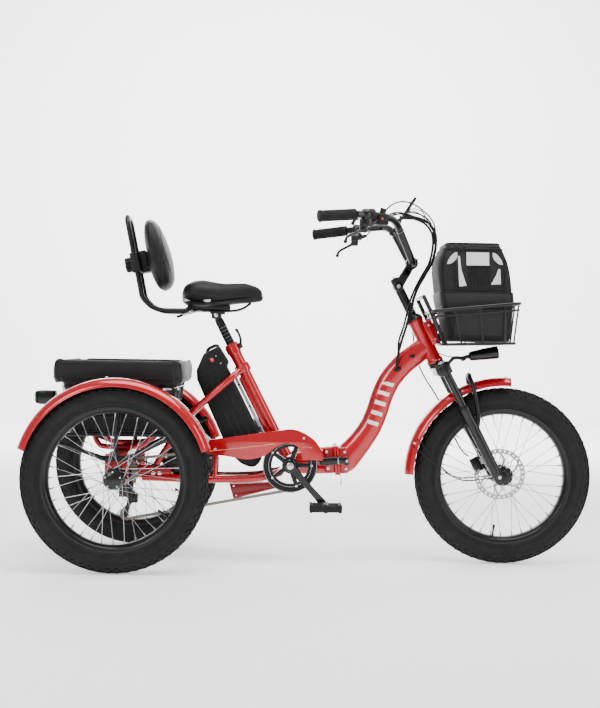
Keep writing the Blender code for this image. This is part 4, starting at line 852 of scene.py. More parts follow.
def make_front_half():
    spine = pipe([(x, 0.0, z) for x, z, _ in S_LINE], 1.0, 10, radii=[r for _, _, r in S_LINE],
                 flat=(1.0, FRAME_FLATNESS, 1.0), per_span=10)

    fine = pipe([(x, 0.0, z) for x, z, _ in S_LINE], 1.0, 22, radii=[r for _, _, r in S_LINE],
                flat=(1.0, FRAME_FLATNESS, 1.0), per_span=34)

    def on_bars(centre, normal):
        step = math.fmod(centre.z + centre.x * 0.3, 0.034)
        return abs(normal.y) > 0.94 and 0.415 < centre.z < 0.56 and 0.006 < step < 0.018

    def on_line(centre, normal):
        return 0.8 < abs(normal.y) < 0.9 and normal.x < 0.0 and 0.4 < centre.z < 0.64

    bars = lifted_patch(fine, on_bars, 0.0005, 0.0003)
    lines = lifted_patch(fine, on_line, 0.0004, 0.0002)
    bpy.data.objects.remove(fine, do_unlink=True)
    fit(bars, "tube_marking_bars", WHITE_MARK, "front_frame")
    fit(lines, "tube_marking_lines", DARK_MARK, "front_frame")
    head = spun([(0.016, -0.0004), (0.0262, 0.0), (0.0268, 0.004), (0.024, 0.0085),
                 (0.0226, 0.012), (0.0226, 0.133), (0.024, 0.1365), (0.0268, 0.1405),
                 (0.0262, 0.145), (0.016, 0.145)], HEAD_FOOT, STEER_UP, 56, closed=True)
    gusset = pipe([(0.318, 0.0, 0.656), (0.337, 0.0, 0.679), (0.34, 0.0, 0.706)], 0.013, 5,
                  radii=[0.55, 1.0, 0.7])
    socket = block((0.034, 0.05, 0.084), hinge(0.0, 0.0205), FORE, HINGE_UP, 0.009)
    flange = block((0.008, 0.078, 0.0915), hinge(0.0, 0.0042, 0.0003), FORE, HINGE_UP, 0.0022)
    knuckle = cylinder(hinge(-0.014, 0.0, HINGE_PIN.y), hinge(0.014, 0.0, HINGE_PIN.y), 0.01,
                       sides=32, edge=0.0012)
    web = block((0.0072, 0.02, 0.0256), hinge(0.0, 0.0044, 0.04), FORE, HINGE_UP, 0.001)
    lug = block((0.012, 0.012, 0.026), hinge(0.0, 0.03, -0.031), FORE, HINGE_UP, 0.002)
    bracket = block((0.03, 0.044, 0.078), steer(0.088, 0.029), STEER_FORE, STEER_UP, 0.004)
    fit(join(spine, head, gusset, socket, flange, knuckle, web, lug, bracket), "front_half_frame",
        RED, "front_frame", ["front_frame"], 40.0)
    cups = [spun([(0.0155, -0.0002), (0.025, -0.0002), (0.0262, -0.0042), (0.024, -0.0075),
                  (0.0155, -0.0075)], steer(0.0), STEER_UP, 48, closed=True),
            spun([(0.015, 0.0002), (0.0258, 0.0002), (0.0264, 0.004), (0.0225, 0.01),
                  (0.0205, 0.0125), (0.015, 0.0125)], steer(0.145), STEER_UP, 48, closed=True)]
    fit(cups[1], "headset_top", BLACK_PAINT, "steering")
    fit(cups[0], "headset_crown_race", BLACK_PAINT, "steering")
    grommets = [ball((0.259, -0.0235, 0.601), 0.008, (1.5, 0.5, 1.0), STEER_FORE, STEER_UP)]
    grommets.append(ball((0.305, -0.0225, 0.642), 0.0062, (1.4, 0.5, 1.0)))
    fit(join(*grommets), "cable_grommets", CABLE, "front_frame")
    screws = [screw_head(steer(s, 0.0432, y), STEER_FORE, 0.0042, 0.003)
              for s in (0.098, 0.062) for y in (0.011, -0.011)]
    screws += [screw_head(steer(s, 0.029, -0.022), -ACROSS, 0.0048, 0.003) for s in (0.112, 0.064)]
    screws += [screw_head(hinge(s, 0.027, side * 0.0255), ACROSS * side, 0.005, 0.003)
               for s in (0.026, -0.026) for side in (1.0, -1.0)]
    fit(join(*screws), "front_frame_screws", SILVER, "front_frame")
    pin_head = [cylinder(hinge(0.0455 * side, 0.0, HINGE_PIN.y), hinge(0.0485 * side, 0.0, HINGE_PIN.y),
                         0.0062, sides=24, edge=0.001) for side in (1.0, -1.0)]
    fit(join(*pin_head), "fold_pin_heads", SILVER, "rear_frame")


def make_latch():
    base = PIVOT["latch_lever"]
    lever = block((0.066, 0.01, 0.024), hinge(-0.001, -0.015, -0.0455), (1, 0, 0.06), HINGE_UP,
                  0.0042, 4)
    finger = block((0.026, 0.0085, 0.018), hinge(-0.004, -0.042, -0.046), (1, 0.08, 0.1),
                   HINGE_UP, 0.0038, 4)
    boss = cylinder(base - HINGE_UP * 0.0135, base + HINGE_UP * 0.012, 0.0064, sides=28, edge=0.001)
    arm = block((0.034, 0.008, 0.02), base - FORE * 0.016, (1, 0, 0.06), HINGE_UP, 0.003)
    fit(join(lever, finger, boss, arm), "latch_handle", GLOSS_BLACK, "fold_latch",
        ["fold_latch"])
    button = screw_head(base + ACROSS * -0.0062, -ACROSS, 0.0046, 0.003)
    ridge = block((0.0025, 0.0012, 0.02), hinge(0.0, 0.004, -0.0506), (1, 0, 0.06), HINGE_UP, 0.0005)
    fit(join(button, ridge), "latch_button", SILVER, "fold_latch")
    tab = hinge(-0.045, 0.01, -0.028)
    chain = [ring(tab - UP * (0.004 + i * 0.0055), FORE if i % 2 else ACROSS, 0.0026, 0.0006, 16, 6)
             for i in range(3)]
    pin = cylinder(tab - UP * 0.02, tab - UP * 0.033, 0.003, 0.0018, 16, 0.0005)
    eye = ring(tab - UP * 0.0185, FORE, 0.0035, 0.0009, 20, 6)
    fit(join(*chain, pin, eye), "latch_safety_pin", STEEL, "front_frame")


# ---- rear frame half --------------------------------------------------------------------------
def make_main_beam():
    shell = spun([(0.0105, 0.0338), (0.0222, 0.0338), (0.0234, 0.0318), (0.0225, 0.029),
                  (0.0225, -0.029), (0.0234, -0.0318), (0.0222, -0.0338), (0.0105, -0.0338)], BB,
                 ACROSS, 56, closed=True)
    beam = pipe([(-0.065, 0.0, 0.306), (-0.02, 0.0, 0.309), (0.048, 0.0, 0.3132)], 1.0, 9,
                radii=[0.036, 0.04, 0.043], flat=(1.0, 0.58, 1.0))
    socket = block((0.038, 0.05, 0.084), hinge(0.0, -0.022), FORE, HINGE_UP, 0.009)
    flange = block((0.0078, 0.078, 0.0915), hinge(0.0, -0.0043, 0.0003), FORE, HINGE_UP, 0.0022)
    parts = [shell, beam, socket, flange]
    for low, high in ((-0.045, -0.0156), (0.0156, 0.045)):
        parts.append(cylinder(hinge(low, 0.0, HINGE_PIN.y), hinge(high, 0.0, HINGE_PIN.y), 0.01,
                              sides=32, edge=0.0012))
        parts.append(block((0.0072, 0.02, high - low), hinge((low + high) / 2, -0.0045, 0.04),
                           FORE, HINGE_UP, 0.001))
    fit(join(*parts), "rear_half_beam", RED, "rear_frame", ["main_beam"], 40.0)
    cups = [spun([(0.0104, 0.0338), (0.021, 0.0338), (0.021, 0.038), (0.0185, 0.04),
                  (0.0104, 0.04)], BB, ACROSS * side, 32, closed=True) for side in (1.0, -1.0)]
    fit(join(*cups), "crank_bearing_cups", BLACK_PAINT, "rear_frame")
    screws = [screw_head(hinge(s, -0.029, side * 0.0255), ACROSS * side, 0.005, 0.003)
              for s in (0.026, -0.026) for side in (1.0, -1.0)]
    fit(join(*screws), "rear_beam_screws", SILVER, "rear_frame")


def make_seat_tube():
    tube = spun([(0.0185, 0.055), (0.0185, 0.372), (0.0192, 0.378), (0.0205, 0.383),
                 (0.0207, 0.412), (0.0198, 0.416), (0.0142, 0.416), (0.0142, 0.055)],
                BB, SEAT_UP, 56, closed=True)
    foot = pipe([seat(0.024), seat(0.06)], 0.019, 8, smooth=False)
    rib = block((0.018, 0.026, 0.226), seat(0.197, -0.0172), SEAT_FORE, SEAT_UP, 0.006)
    fit(join(tube, foot, rib), "seat_tube_shell", RED, "rear_frame", ["seat_tube"])
    collar = spun([(0.0209, 0.386), (0.0232, 0.387), (0.0232, 0.409), (0.0209, 0.41)], BB, SEAT_UP,
                  48, closed=True)
    ears = block((0.012, 0.02, 0.018), seat(0.398, 0.0255), SEAT_FORE, SEAT_UP, 0.002)
    fit(collar, "seat_collar", RED, "rear_frame")
    fit(ears, "seat_collar_ears", BLACK_PAINT, "rear_frame")


def make_seat_stays():
    half = [(-0.223, 0.02, 0.596), (-0.24, 0.048, 0.5806), (-0.262, 0.062, 0.5604),
            (-0.3, STAY_Y, 0.5257), (-0.374, STAY_Y, 0.4581), (-0.42, STAY_Y, 0.395),
            (-0.456, STAY_Y, 0.34), (-0.482, STAY_Y, 0.296)]
    stays = [pipe(half, 0.0105, 6, per_span=6)]
    stays.append(mirrored(stays[0]))
    at = seat(0.331)
    yoke = spun([(0.0189, -0.013), (0.0238, -0.013), (0.0245, -0.011), (0.0245, 0.011),
                 (0.0238, 0.013), (0.0189, 0.013)], at, SEAT_UP, 48, closed=True)
    fit(join(yoke, *stays), "stay_tubes", RED, "rear_frame", ["seat_stays"])


def make_rear_frame():
    parts = []
    for side in (1.0, -1.0):
        line = [(-0.1, 0.048 * side, 0.276), (-0.17, 0.062 * side, 0.26),
                (-0.3226, STAY_Y * side, 0.254), (-0.525, STAY_Y * side, 0.258)]
        parts.append(pipe(line, 0.012, 6))
        parts.append(block((0.17, 0.006, 0.03), (-0.52, STAY_Y * side, 0.27), edge=0.0018))
        parts.append(block((0.07, 0.018, 0.09), (-0.582, 0.248 * side, 0.295), edge=0.004))
        parts.append(block((0.05, 0.008, 0.12), (-0.582, STAY_Y * side, 0.285), edge=0.002))
    parts.append(cylinder((-0.1, 0.052, 0.276), (-0.1, -0.052, 0.276), 0.01, edge=0.002))
    parts.append(block((0.05, 0.51, 0.02), (-0.582, 0.0, 0.334), edge=0.004))
    fit(join(*parts), "rear_axle_frame", RED, "rear_frame", ["rear_subframe"])
    housings = []
    for y0, y1 in ((-0.064, 0.26), (-0.112, -0.26)):
        housings.append(cylinder((REAR_AXLE.x, y0, REAR_AXLE.z), (REAR_AXLE.x, y1, REAR_AXLE.z),
                                 0.02, sides=40, edge=0.002))
    for y in (-0.252, 0.252, -0.124, 0.078):
        housings.append(spun([(0.0195, -0.006), (0.029, -0.006), (0.0298, -0.004), (0.0298, 0.004),
                              (0.029, 0.006), (0.0195, 0.006)],
                             (REAR_AXLE.x, y, REAR_AXLE.z), ACROSS, 40, closed=True))
    housings.append(block((0.03, 0.006, 0.14), (-0.575, -0.116, 0.27), edge=0.0018))
    fit(join(*housings), "axle_housings", BLACK_PAINT, "rear_frame")
    bolts = []
    for side in (1.0, -1.0):
        for x in (-0.47, -0.49, -0.545):
            bolts.append(nut((x, (STAY_Y + 0.003) * side, 0.27), ACROSS * side, 0.0075, 0.0055))
        for x, z in ((-0.6, 0.322), (-0.564, 0.322), (-0.6, 0.268), (-0.564, 0.268)):
            bolts.append(nut((x, 0.239 * side, z), -ACROSS * side, 0.006, 0.0045))
    fit(join(*bolts), "rear_frame_bolts", SILVER, "rear_frame")


RACK_Z = 0.3935


def make_rack():
    rods = [pipe([(-0.74, y, RACK_Z), (-0.437, y, RACK_Z)], 0.005, 4, smooth=False)
            for y in (-0.205, -0.11, 0.0, 0.11, 0.205)]
    rods += [pipe([(x, -0.21, RACK_Z), (x, 0.21, RACK_Z)], 0.0046, 4, smooth=False)
             for x in (-0.735, -0.64, -0.53, -0.442)]
    hoops = []
    for y in (0.12, -0.12):
        hoop = [(-0.668, y, 0.392), (-0.655, y, 0.364), (-0.633, y, 0.3535),
                (-0.556, y, 0.3535), (-0.512, y, 0.366), (-0.494, y, 0.392)]
        hoops.append(pipe(hoop, 0.0085, 6, per_span=6))
    fit(join(*rods), "rack_rods", BLACK_PAINT, "rear_frame")
    fit(join(*hoops), "rack_cradle_hoops", RED, "rear_frame", ["rack_frame"])


# ---- soft goods -------------------------------------------------------------------------------
def pressurise(obj, voxel, pressure, cap):
    """Swell a closed form like a stuffed cover, no point moving further than cap."""
    apply_modifier(obj, "REMESH", mode="VOXEL", voxel_size=voxel)
    before = [v.co.copy() for v in obj.data.vertices]
    cloth = obj.modifiers.new("swell", "CLOTH")
    cloth.settings.use_pressure = True
    cloth.settings.uniform_pressure_force = pressure
    cloth.settings.tension_stiffness = 25.0
    cloth.settings.compression_stiffness = 25.0
    cloth.settings.bending_stiffness = 0.8
    cloth.settings.effector_weights.gravity = 0.0
    cloth.settings.quality = 5
    for frame_now in range(1, 21):
        bpy.context.scene.frame_set(frame_now)
    pick(obj)
    bpy.ops.object.modifier_apply(modifier=cloth.name)
    bpy.context.scene.frame_set(1)
    for vertex, old in zip(obj.data.vertices, before):
        move = vertex.co - old
        if move.length > cap:
            vertex.co = old + move.normalized() * cap
    apply_modifier(obj, "SMOOTH", factor=0.6, iterations=6)
    return apply_modifier(obj, "SUBSURF", levels=1, render_levels=1)


def cage(rings):
    """A closed form lofted through rings of points, capped at both ends."""
    count = len(rings[0])
    verts = [p for one in rings for p in one]
    faces = []
    for i in range(len(rings) - 1):
        for k in range(count):
            a, b = i * count + k, i * count + (k + 1) % count
            faces.append((a, b, b + count, a + count))
    faces.append(tuple(range(count)))
    faces.append(tuple(range((len(rings) - 1) * count, len(rings) * count)))
    return clean(from_points("cage", verts, [], faces))


def on_surface(obj, point, direction, lift=0.0):
    """Where a line from point along direction meets obj, lifted off it."""
    hit, at, normal, _ = obj.ray_cast(point, direction)
    return at + normal * lift if hit else None


SADDLE_STATIONS = [(-0.414, 0.05, 0.803, 0.838), (-0.404, 0.092, 0.793, 0.858),
                   (-0.38, 0.11, 0.788, 0.868), (-0.348, 0.113, 0.786, 0.87),
                   (-0.31, 0.106, 0.789, 0.862), (-0.275, 0.082, 0.795, 0.858),
                   (-0.245, 0.058, 0.799, 0.861), (-0.205, 0.04, 0.803, 0.862),
                   (-0.176, 0.03, 0.806, 0.856), (-0.162, 0.016, 0.812, 0.842)]


def make_saddle():
    """A broad padded saddle: crowned cheeks, a long nose, sewn skirt and a moulded base."""
    rings = []
    for x, half, low, high in SADDLE_STATIONS:
        skirt = low + (high - low) * 0.3
        rings.append([(x, y, z) for y, z in (
            (-half, skirt), (-half * 0.98, low + (high - low) * 0.62),
            (-half * 0.78, high - 0.002), (-half * 0.3, high - 0.004 - half * 0.05),
            (half * 0.3, high - 0.004 - half * 0.05), (half * 0.78, high - 0.002),
            (half * 0.98, low + (high - low) * 0.62), (half, skirt), (half * 0.62, low),
            (-half * 0.62, low))])
    pad = cage(rings)
    apply_modifier(pad, "SUBSURF", levels=2, render_levels=2)
    pressurise(pad, 0.0042, 3.0, 0.004)
    fit(pad, "saddle_cover", VINYL, "saddle", ["saddle"], 60.0)
    low_line = []
    for x, half, low, high in SADDLE_STATIONS:
        low_line.append(on_surface(pad, Vector((x, -0.2, low + (high - low) * 0.3)), ACROSS, 0.0004))
    low_line = [p for p in low_line if p is not None]
    other = [flip(p) for p in low_line]
    rear = [Vector((-0.4185, y, 0.813)) for y in (0.045, 0.0, -0.045)]
    rear = [on_surface(pad, Vector((-0.5, p.y, p.z)), FORE, 0.0004) or p for p in rear]
    nose = on_surface(pad, Vector((-0.1, 0.0, 0.82)), -FORE, 0.0004)
    loop = rear[1:] + low_line[1:-1] + [nose] + other[1:-1][::-1] + [rear[0]]
    seam = pipe(loop, 0.0013, 3, closed=True, per_span=6)
    ridge = []
    for x, half, low, high in SADDLE_STATIONS[1:-1]:
        ridge.append(on_surface(pad, Vector((x, -half * 0.66, 1.0)), -UP, 0.0002))
    top_seams = [pipe([p for p in ridge if p], 0.0008, 3, per_span=6)]
    top_seams.append(mirrored(top_seams[0]))
    fit(join(seam, *top_seams), "saddle_piping", PIPING, "saddle")
    base_rings = []
    for x, half, low, _ in SADDLE_STATIONS:
        base_rings.append([(x + 0.001, y, z) for y, z in (
            (-half * 0.93, low + 0.016), (-half * 0.8, low + 0.002), (-half * 0.55, low - 0.004),
            (half * 0.55, low - 0.004), (half * 0.8, low + 0.002), (half * 0.93, low + 0.016))])
    base = cage(base_rings)
    apply_modifier(base, "SUBSURF", levels=2, render_levels=2)
    fit(base, "saddle_base", MATTE_BLACK, "saddle", angle=60.0)
    # painted highlights: pale spots on the saddle's lower sides stand for the glints on its cover
    highlight_spots = []
    for x, turn_out in ((-0.394, -0.3), (-0.332, 0.05)):
        for side in (1.0, -1.0):
            out = Vector((turn_out, side, -0.18)).normalized()
            spot = on_surface(pad, Vector((x, side * 0.2, 0.803)), ACROSS * -side, 0.0)
            if spot is None:
                continue
            highlight_spots.append(ball(spot + out * 0.0004, 0.006, (1.9, 1.0, 0.42), FORE, out, 20))
    fit(join(*highlight_spots), "saddle_painted_highlights", REFLECT, "saddle")
    rails = []
    for side in (1.0, -1.0):
        rails.append(pipe([(-0.396, 0.034 * side, 0.786), (-0.37, 0.03 * side, 0.774),
                           (-0.33, 0.024 * side, 0.7735), (-0.27, 0.022 * side, 0.7735),
                           (-0.23, 0.02 * side, 0.78), (-0.2, 0.013 * side, 0.799)],
                          0.0036, 4))
    fit(join(*rails), "saddle_rails", BLACK_PAINT, "saddle")


def make_seat_post():
    post = spun([(0.0, 0.25), (0.0138, 0.25), (0.0138, 0.492), (0.0128, 0.498), (0.0118, 0.506),
                 (0.0, 0.508)], BB, SEAT_UP, 48)
    fit(post, "seat_post_tube", BLACK_PAINT, "seat_post", ["seat_post"])
    at = seat(0.515)
    barrel = cylinder(at - ACROSS * 0.029, at + ACROSS * 0.029, 0.0126, sides=32, edge=0.0014)
    parts = [barrel]
    for side in (1.0, -1.0):
        centre = at + ACROSS * 0.024 * side + Vector((0.003, 0.0, 0.01))
        parts.append(block((0.046, 0.011, 0.0125), centre, edge=0.003))
        parts.append(block((0.03, 0.008, 0.02), at + ACROSS * 0.024 * side, edge=0.003))
    fit(join(*parts), "saddle_clamp", BLACK_PAINT, "seat_post")
    nuts = [nut(at + ACROSS * 0.029 * side, ACROSS * side, 0.0068, 0.005) for side in (1.0, -1.0)]
    fit(join(*nuts), "saddle_clamp_nuts", SILVER, "seat_post")
    marks = [ring(seat(0.428 + i * 0.011), SEAT_UP, 0.01385, 0.00025, 40, 5) for i in range(5)]
    fit(join(*marks), "seat_post_height_marks", STEEL, "seat_post")


def make_seat_levers():
    at = PIVOT["seat_lever"]
    bolt = cylinder(at - ACROSS * 0.022, at + ACROSS * 0.022, 0.0052, sides=24, edge=0.0008)
    root = at - ACROSS * 0.0195
    tip = root + SEAT_UP * 0.046 + SEAT_FORE * 0.009
    blade = pipe([root, root + SEAT_UP * 0.016 + SEAT_FORE * 0.008, root + SEAT_UP * 0.034
                  + SEAT_FORE * 0.01, tip], 0.0042, 5, radii=[1.0, 1.0, 0.95, 1.15])
    knob = ball(tip, 0.0058, (1.0, 1.0, 0.85), segments=20)
    fit(join(bolt, blade, knob), "seat_quick_lever", GLOSS_BLACK, "seat_lever",
        ["seat_lever"])
    foot = PIVOT["slide_lever"]
    wire = pipe([foot + Vector((0.01, 0.016, 0.001)), foot + Vector((0.004, 0.006, 0.0005)), foot,
                 foot + Vector((-0.03, -0.003, -0.0075)),
                 foot + Vector((-0.052, -0.005, -0.015)),
                 foot + Vector((-0.0657, -0.006, -0.0189))], 0.0029, 5)
    fit(wire, "saddle_slide_wire", STEEL, "slide_lever", ["slide_lever"])
    sleeve = pipe([foot + Vector((-0.048, -0.0047, -0.0134)),
                   foot + Vector((-0.0662, -0.0061, -0.0191))], 0.004, 4, smooth=False)
    fit(sleeve, "saddle_slide_sleeve", GRIP, "slide_lever")


def make_backrest():
    half = [Vector(p) for p in ((-0.39, 0.052, 0.771), (-0.43, 0.0535, 0.771),
                                (-0.47, 0.054, 0.7715), (-0.5, 0.054, 0.78),
                                (-0.523, 0.054, 0.798))]
    half += [back(-0.105, 0.0, 0.054), back(-0.085, 0.0, 0.054), back(-0.02, 0.0, 0.054),
             back(0.05, 0.0, 0.054), back(0.11, 0.0, 0.054), back(0.13, 0.0, 0.049),
             back(0.142, 0.0, 0.036), back(0.1455, 0.0, 0.02)]
    tube = pipe(half + [flip(p) for p in half[::-1]], 0.008, 6, per_span=6)
    bar = cylinder((-0.395, 0.06, 0.771), (-0.395, -0.06, 0.771), 0.0065, sides=28, edge=0.001)
    slots = [block((0.13, 0.003, 0.016), (-0.33, 0.04 * side, 0.785), edge=0.001)
             for side in (1.0, -1.0)]
    lugs = [block((0.02, 0.018, 0.012), (-0.39, 0.046 * side, 0.777), edge=0.002)
            for side in (1.0, -1.0)]
    fit(join(tube, bar, *slots, *lugs), "backrest_tube", BLACK_PAINT, "saddle",
        ["backrest_frame"])
    clamp = block((0.026, 0.14, 0.06), back(0.0, 0.0), BACK_FORE, BACK_UP, 0.004)
    sleeves = [cylinder(back(-0.031, 0.0, y), back(0.031, 0.0, y), 0.014, sides=32, edge=0.0015)
               for y in (0.054, -0.054)]
    plate_back = block((0.024, 0.078, 0.068), back(0.0, 0.024), BACK_FORE, BACK_UP, 0.004)
    fit(join(clamp, plate_back, *sleeves), "backrest_slide_clamp", MATTE_BLACK, "backrest",
        ["backrest_clamp"])
    at = PIVOT["backrest_knob"]
    knob = spun([(0.0, -0.0225), (0.013, -0.0225), (0.0195, -0.0205), (0.02, -0.005),
                 (0.0185, -0.0012), (0.0, -0.0012)], at, BACK_FORE, 40)
    lobes = repeat(cylinder(at - BACK_FORE * 0.0215 + BACK_UP * 0.0185,
                            at - BACK_FORE * 0.0025 + BACK_UP * 0.0185, 0.0046, sides=16,
                            edge=0.0012), turns(at, 10, BACK_FORE))
    fit(join(knob, lobes), "backrest_turn_knob", MATTE_BLACK, "backrest_knob",
        ["backrest_knob"])
    rows = [(-0.1, 0.05, 0.002, 0.024), (-0.09, 0.092, -0.006, 0.038),
            (-0.06, 0.12, -0.011, 0.05), (-0.01, 0.133, -0.012, 0.053),
            (0.04, 0.134, -0.012, 0.047), (0.085, 0.122, -0.011, 0.037),
            (0.112, 0.098, -0.009, 0.027), (0.126, 0.055, -0.003, 0.014)]
    rings = []
    for up, half_w, rear, fore in rows:
        middle = rear + (fore - rear) * 0.4
        rings.append([back(up, 0.056 + f, y) for f, y in (
            (middle, -half_w), (rear + (fore - rear) * 0.82, -half_w * 0.86),
            (fore, -half_w * 0.5), (fore + 0.002, 0.0), (fore, half_w * 0.5),
            (rear + (fore - rear) * 0.82, half_w * 0.86), (middle, half_w),
            (rear + 0.001, half_w * 0.9), (rear, half_w * 0.4), (rear, -half_w * 0.4),
            (rear + 0.001, -half_w * 0.9))])
    pad = cage(rings)
    apply_modifier(pad, "SUBSURF", levels=2, render_levels=2)
    pressurise(pad, 0.0048, 2.5, 0.004)
    fit(pad, "backrest_cover", VINYL, "backrest", ["backrest_pad"], 60.0)
    edge = []
    for i in range(48):
        a = 2 * math.pi * i / 48
        up = 0.013 + 0.126 * math.sin(a)
        wide = 0.148 * math.cos(a)
        start = back(up * 1.6 - 0.008, 0.056 + 0.012, wide * 1.6)
        aim = back(0.013, 0.056 + 0.012) - start
        edge.append(on_surface(pad, start, aim.normalized(), 0.0004))
    seams = [pipe([p for p in edge if p], 0.0015, 3, closed=True, per_span=3)]
    inner = []
    for i in range(40):
        a = 2 * math.pi * i / 40
        spot = back(0.013 + 0.088 * math.sin(a), 0.2, 0.1 * math.cos(a))
        inner.append(on_surface(pad, spot, -BACK_FORE, 0.0001))
    seams.append(pipe([p for p in inner if p], 0.0008, 3, closed=True, per_span=3))
    fit(join(*seams), "backrest_piping", PIPING, "backrest")


# ---- rear basket ------------------------------------------------------------------------------
def wall_ring(low, high, inset, z, corner=0.03, steps=5):
    """Points round a basket at a height, its corners rounded."""
    x0, y0, x1, y1 = low.x + inset, low.y + inset, high.x - inset, high.y - inset
    out = []
    for cx, cy, start in ((x1 - corner, y1 - corner, 0.0), (x0 + corner, y1 - corner, 90.0),
                          (x0 + corner, y0 + corner, 180.0), (x1 - corner, y0 + corner, 270.0)):
        for i in range(steps + 1):
            a = math.radians(start + 90.0 * i / steps)
            out.append(Vector((cx + corner * math.cos(a), cy + corner * math.sin(a), z)))
    return out


def loft(rings, closed_floor=True):
    """An open sheet lofted through rings, the first one filled as a floor."""
    count = len(rings[0])
    verts = [p for one in rings for p in one]
    faces = []
    for i in range(len(rings) - 1):
        for k in range(count):
            a, b = i * count + k, i * count + (k + 1) % count
            faces.append((a, b, b + count, a + count))
    if closed_floor:
        faces.append(tuple(range(count))[::-1])
    return from_points("loft", verts, [], faces)


BASKET_MIDDLE_X = -0.586
CARRIER_STEPS = 22


def make_rear_basket():
    low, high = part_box("rear_basket")
    taper = 0.034
    wires = []
    for t, wire in ((0.0, 0.0026), (0.22, 0.0017), (0.44, 0.0017), (0.66, 0.0017), (1.0, 0.004)):
        z = low.z + 0.0035 + (high.z - low.z - 0.008) * t
        wires.append(pipe(wall_ring(low, high, 0.0045 + taper * (1.0 - t), z, 0.028), wire, 3,
                          closed=True, smooth=False))
    bottom = wall_ring(low, high, 0.0045 + taper, low.z + 0.0035, 0.028, 5)
    top = wall_ring(low, high, 0.0045, high.z - 0.0045, 0.028, 5)
    for foot, head in zip(walk_along(bottom, 56), walk_along(top, 56)):
        wires.append(cylinder(foot, head, 0.0016, sides=8))
    for i in range(9):
        x = low.x + 0.05 + (high.x - low.x - 0.1) * i / 8
        wires.append(cylinder((x, low.y + 0.039, low.z + 0.002), (x, high.y - 0.039, low.z + 0.002),
                              0.0016, sides=8))
    fit(join(*wires), "rear_basket_wires", BLACK_PAINT, "rear_frame", ["rear_basket"])
    rings = []
    for t in [0.0, 0.04] + [0.1 * i for i in range(1, 11)]:
        z = low.z + 0.0048 + (high.z + 0.007 - low.z - 0.0048) * t
        ring_now = wall_ring(low, high, 0.0085 + taper * (1.0 - t), z, 0.03, 8)
        rings.append([p + (Vector((p.x - BASKET_MIDDLE_X, p.y, 0.0)).normalized()
                           * -0.0012 * math.sin(t * math.pi) * (1 + math.sin(k * 0.9 + t * 7)))
                      for k, p in enumerate(ring_now)])
    liner = loft(rings)
    apply_modifier(liner, "SOLIDIFY", thickness=0.0026, offset=0.0)
    fit(liner, "basket_lining", LINER, "rear_frame", ["basket_liner"], 50.0)
    cuff_rings = []
    top_z = high.z + 0.011
    for k in range(17):
        a = math.pi * 2 * k / 16
        inset = -0.001 + 0.0078 * math.cos(a)
        z = top_z - 0.0365 + (0.035 * math.sin(a) if math.sin(a) > 0 else 0.0345 * math.sin(a))
        base = wall_ring(low, high, inset, z, 0.034, 8)
        ring_now = []
        for i, p in enumerate(base):
            out = Vector((p.x - BASKET_MIDDLE_X, p.y * 0.75, 0.0)).normalized()
            pucker = 0.0026 * math.sin(i * 2.1 + math.sin(a) * 1.9) + 0.0018 * math.sin(i * 5.3 + a)
            droop = 0.003 * math.sin(i * 0.9) + 0.0016 * math.sin(i * 2.7)
            ring_now.append(p + out * pucker * (1.0 if math.cos(a) < 0.2 else 0.4) + UP * droop)
        cuff_rings.append(ring_now)
    cuff = loft(cuff_rings[:-1] + [cuff_rings[0]], False)
    clean(cuff)
    apply_modifier(cuff, "SUBSURF", levels=1, render_levels=1)
    fit(cuff, "basket_cuff", LINER, "rear_frame", angle=60.0)
    tape = wall_ring(low, high, -0.01, top_z - 0.056, 0.034, 8)
    hem = pipe(tape, 0.0016, 3, closed=True, smooth=False)
    hem_top = pipe(wall_ring(low, high, -0.0074, top_z - 0.014, 0.034, 8), 0.0011, 3, closed=True,
                   smooth=False)
    fit(join(hem, hem_top), "basket_cuff_binding", PIPING, "rear_frame")
    strip = block((0.0008, 0.06, 0.008), (high.x - 0.006, low.y + 0.07, top_z - 0.086), edge=0.0003)
    side_strip = block((0.026, 0.0012, 0.006), (high.x - 0.034, low.y + 0.004, top_z - 0.086),
                       (1.0, 0.0, 0.16), UP, 0.0003)
    fit(join(strip, side_strip), "basket_reflective_strip", REFLECT, "rear_frame")


def make_tail_light():
    low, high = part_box("tail_light")
    middle = (low + high) / 2
    case = block((0.052, 0.09, 0.044), (low.x + 0.038, 0.0, middle.z), edge=0.006)
    arm = block((0.058, 0.026, 0.01), (-0.783, 0.0, middle.z - 0.014), edge=0.002)
    bezel = block((0.01, 0.086, 0.04), (low.x + 0.0095, 0.0, middle.z), edge=0.004)
    fit(join(case, arm, bezel), "tail_light_case", GLOSS_BLACK, "rear_frame",
        ["tail_light"])
    lens = block((0.012, 0.078, 0.032), (low.x + 0.007, 0.0, middle.z), edge=0.0045)
    ribs = [block((0.002, 0.074, 0.0018), (low.x + 0.0014, 0.0, middle.z + dz), edge=0.0006)
            for dz in (-0.01, -0.005, 0.0, 0.005, 0.01)]
    fit(join(lens, *ribs), "tail_light_lens", RED_LENS, "rear_frame")


# ---- drive ------------------------------------------------------------------------------------
RIGHT_PEDAL = PIVOT["right_pedal_spin"]
LEFT_PEDAL = PIVOT["left_pedal_spin"]
CHAINRING_R = 0.0745
COG_R = 0.036
UPPER_PULLEY = Vector((-0.556, CHAIN_Y, 0.199))
LOWER_PULLEY = Vector((-0.572, CHAIN_Y, 0.145))


def toothed(centre, pitch_r, teeth, thickness, bore):
    """A sprocket: rounded teeth round a pitch circle, with a bore."""
    outline = []
    for i in range(teeth * 4):
        a = i * 360.0 / (teeth * 4)
        reach = (0.003, 0.0008, -0.003, 0.0008)[i % 4]
        outline.append(around(centre, pitch_r + reach, a, 0.0))
    disc = plate([(p.x, p.z) for p in outline], thickness, centre.y, 0.0004)
    hole = cylinder(centre - ACROSS * 0.02, centre + ACROSS * 0.02, bore, sides=40)
    carve(disc, hole)
    return disc


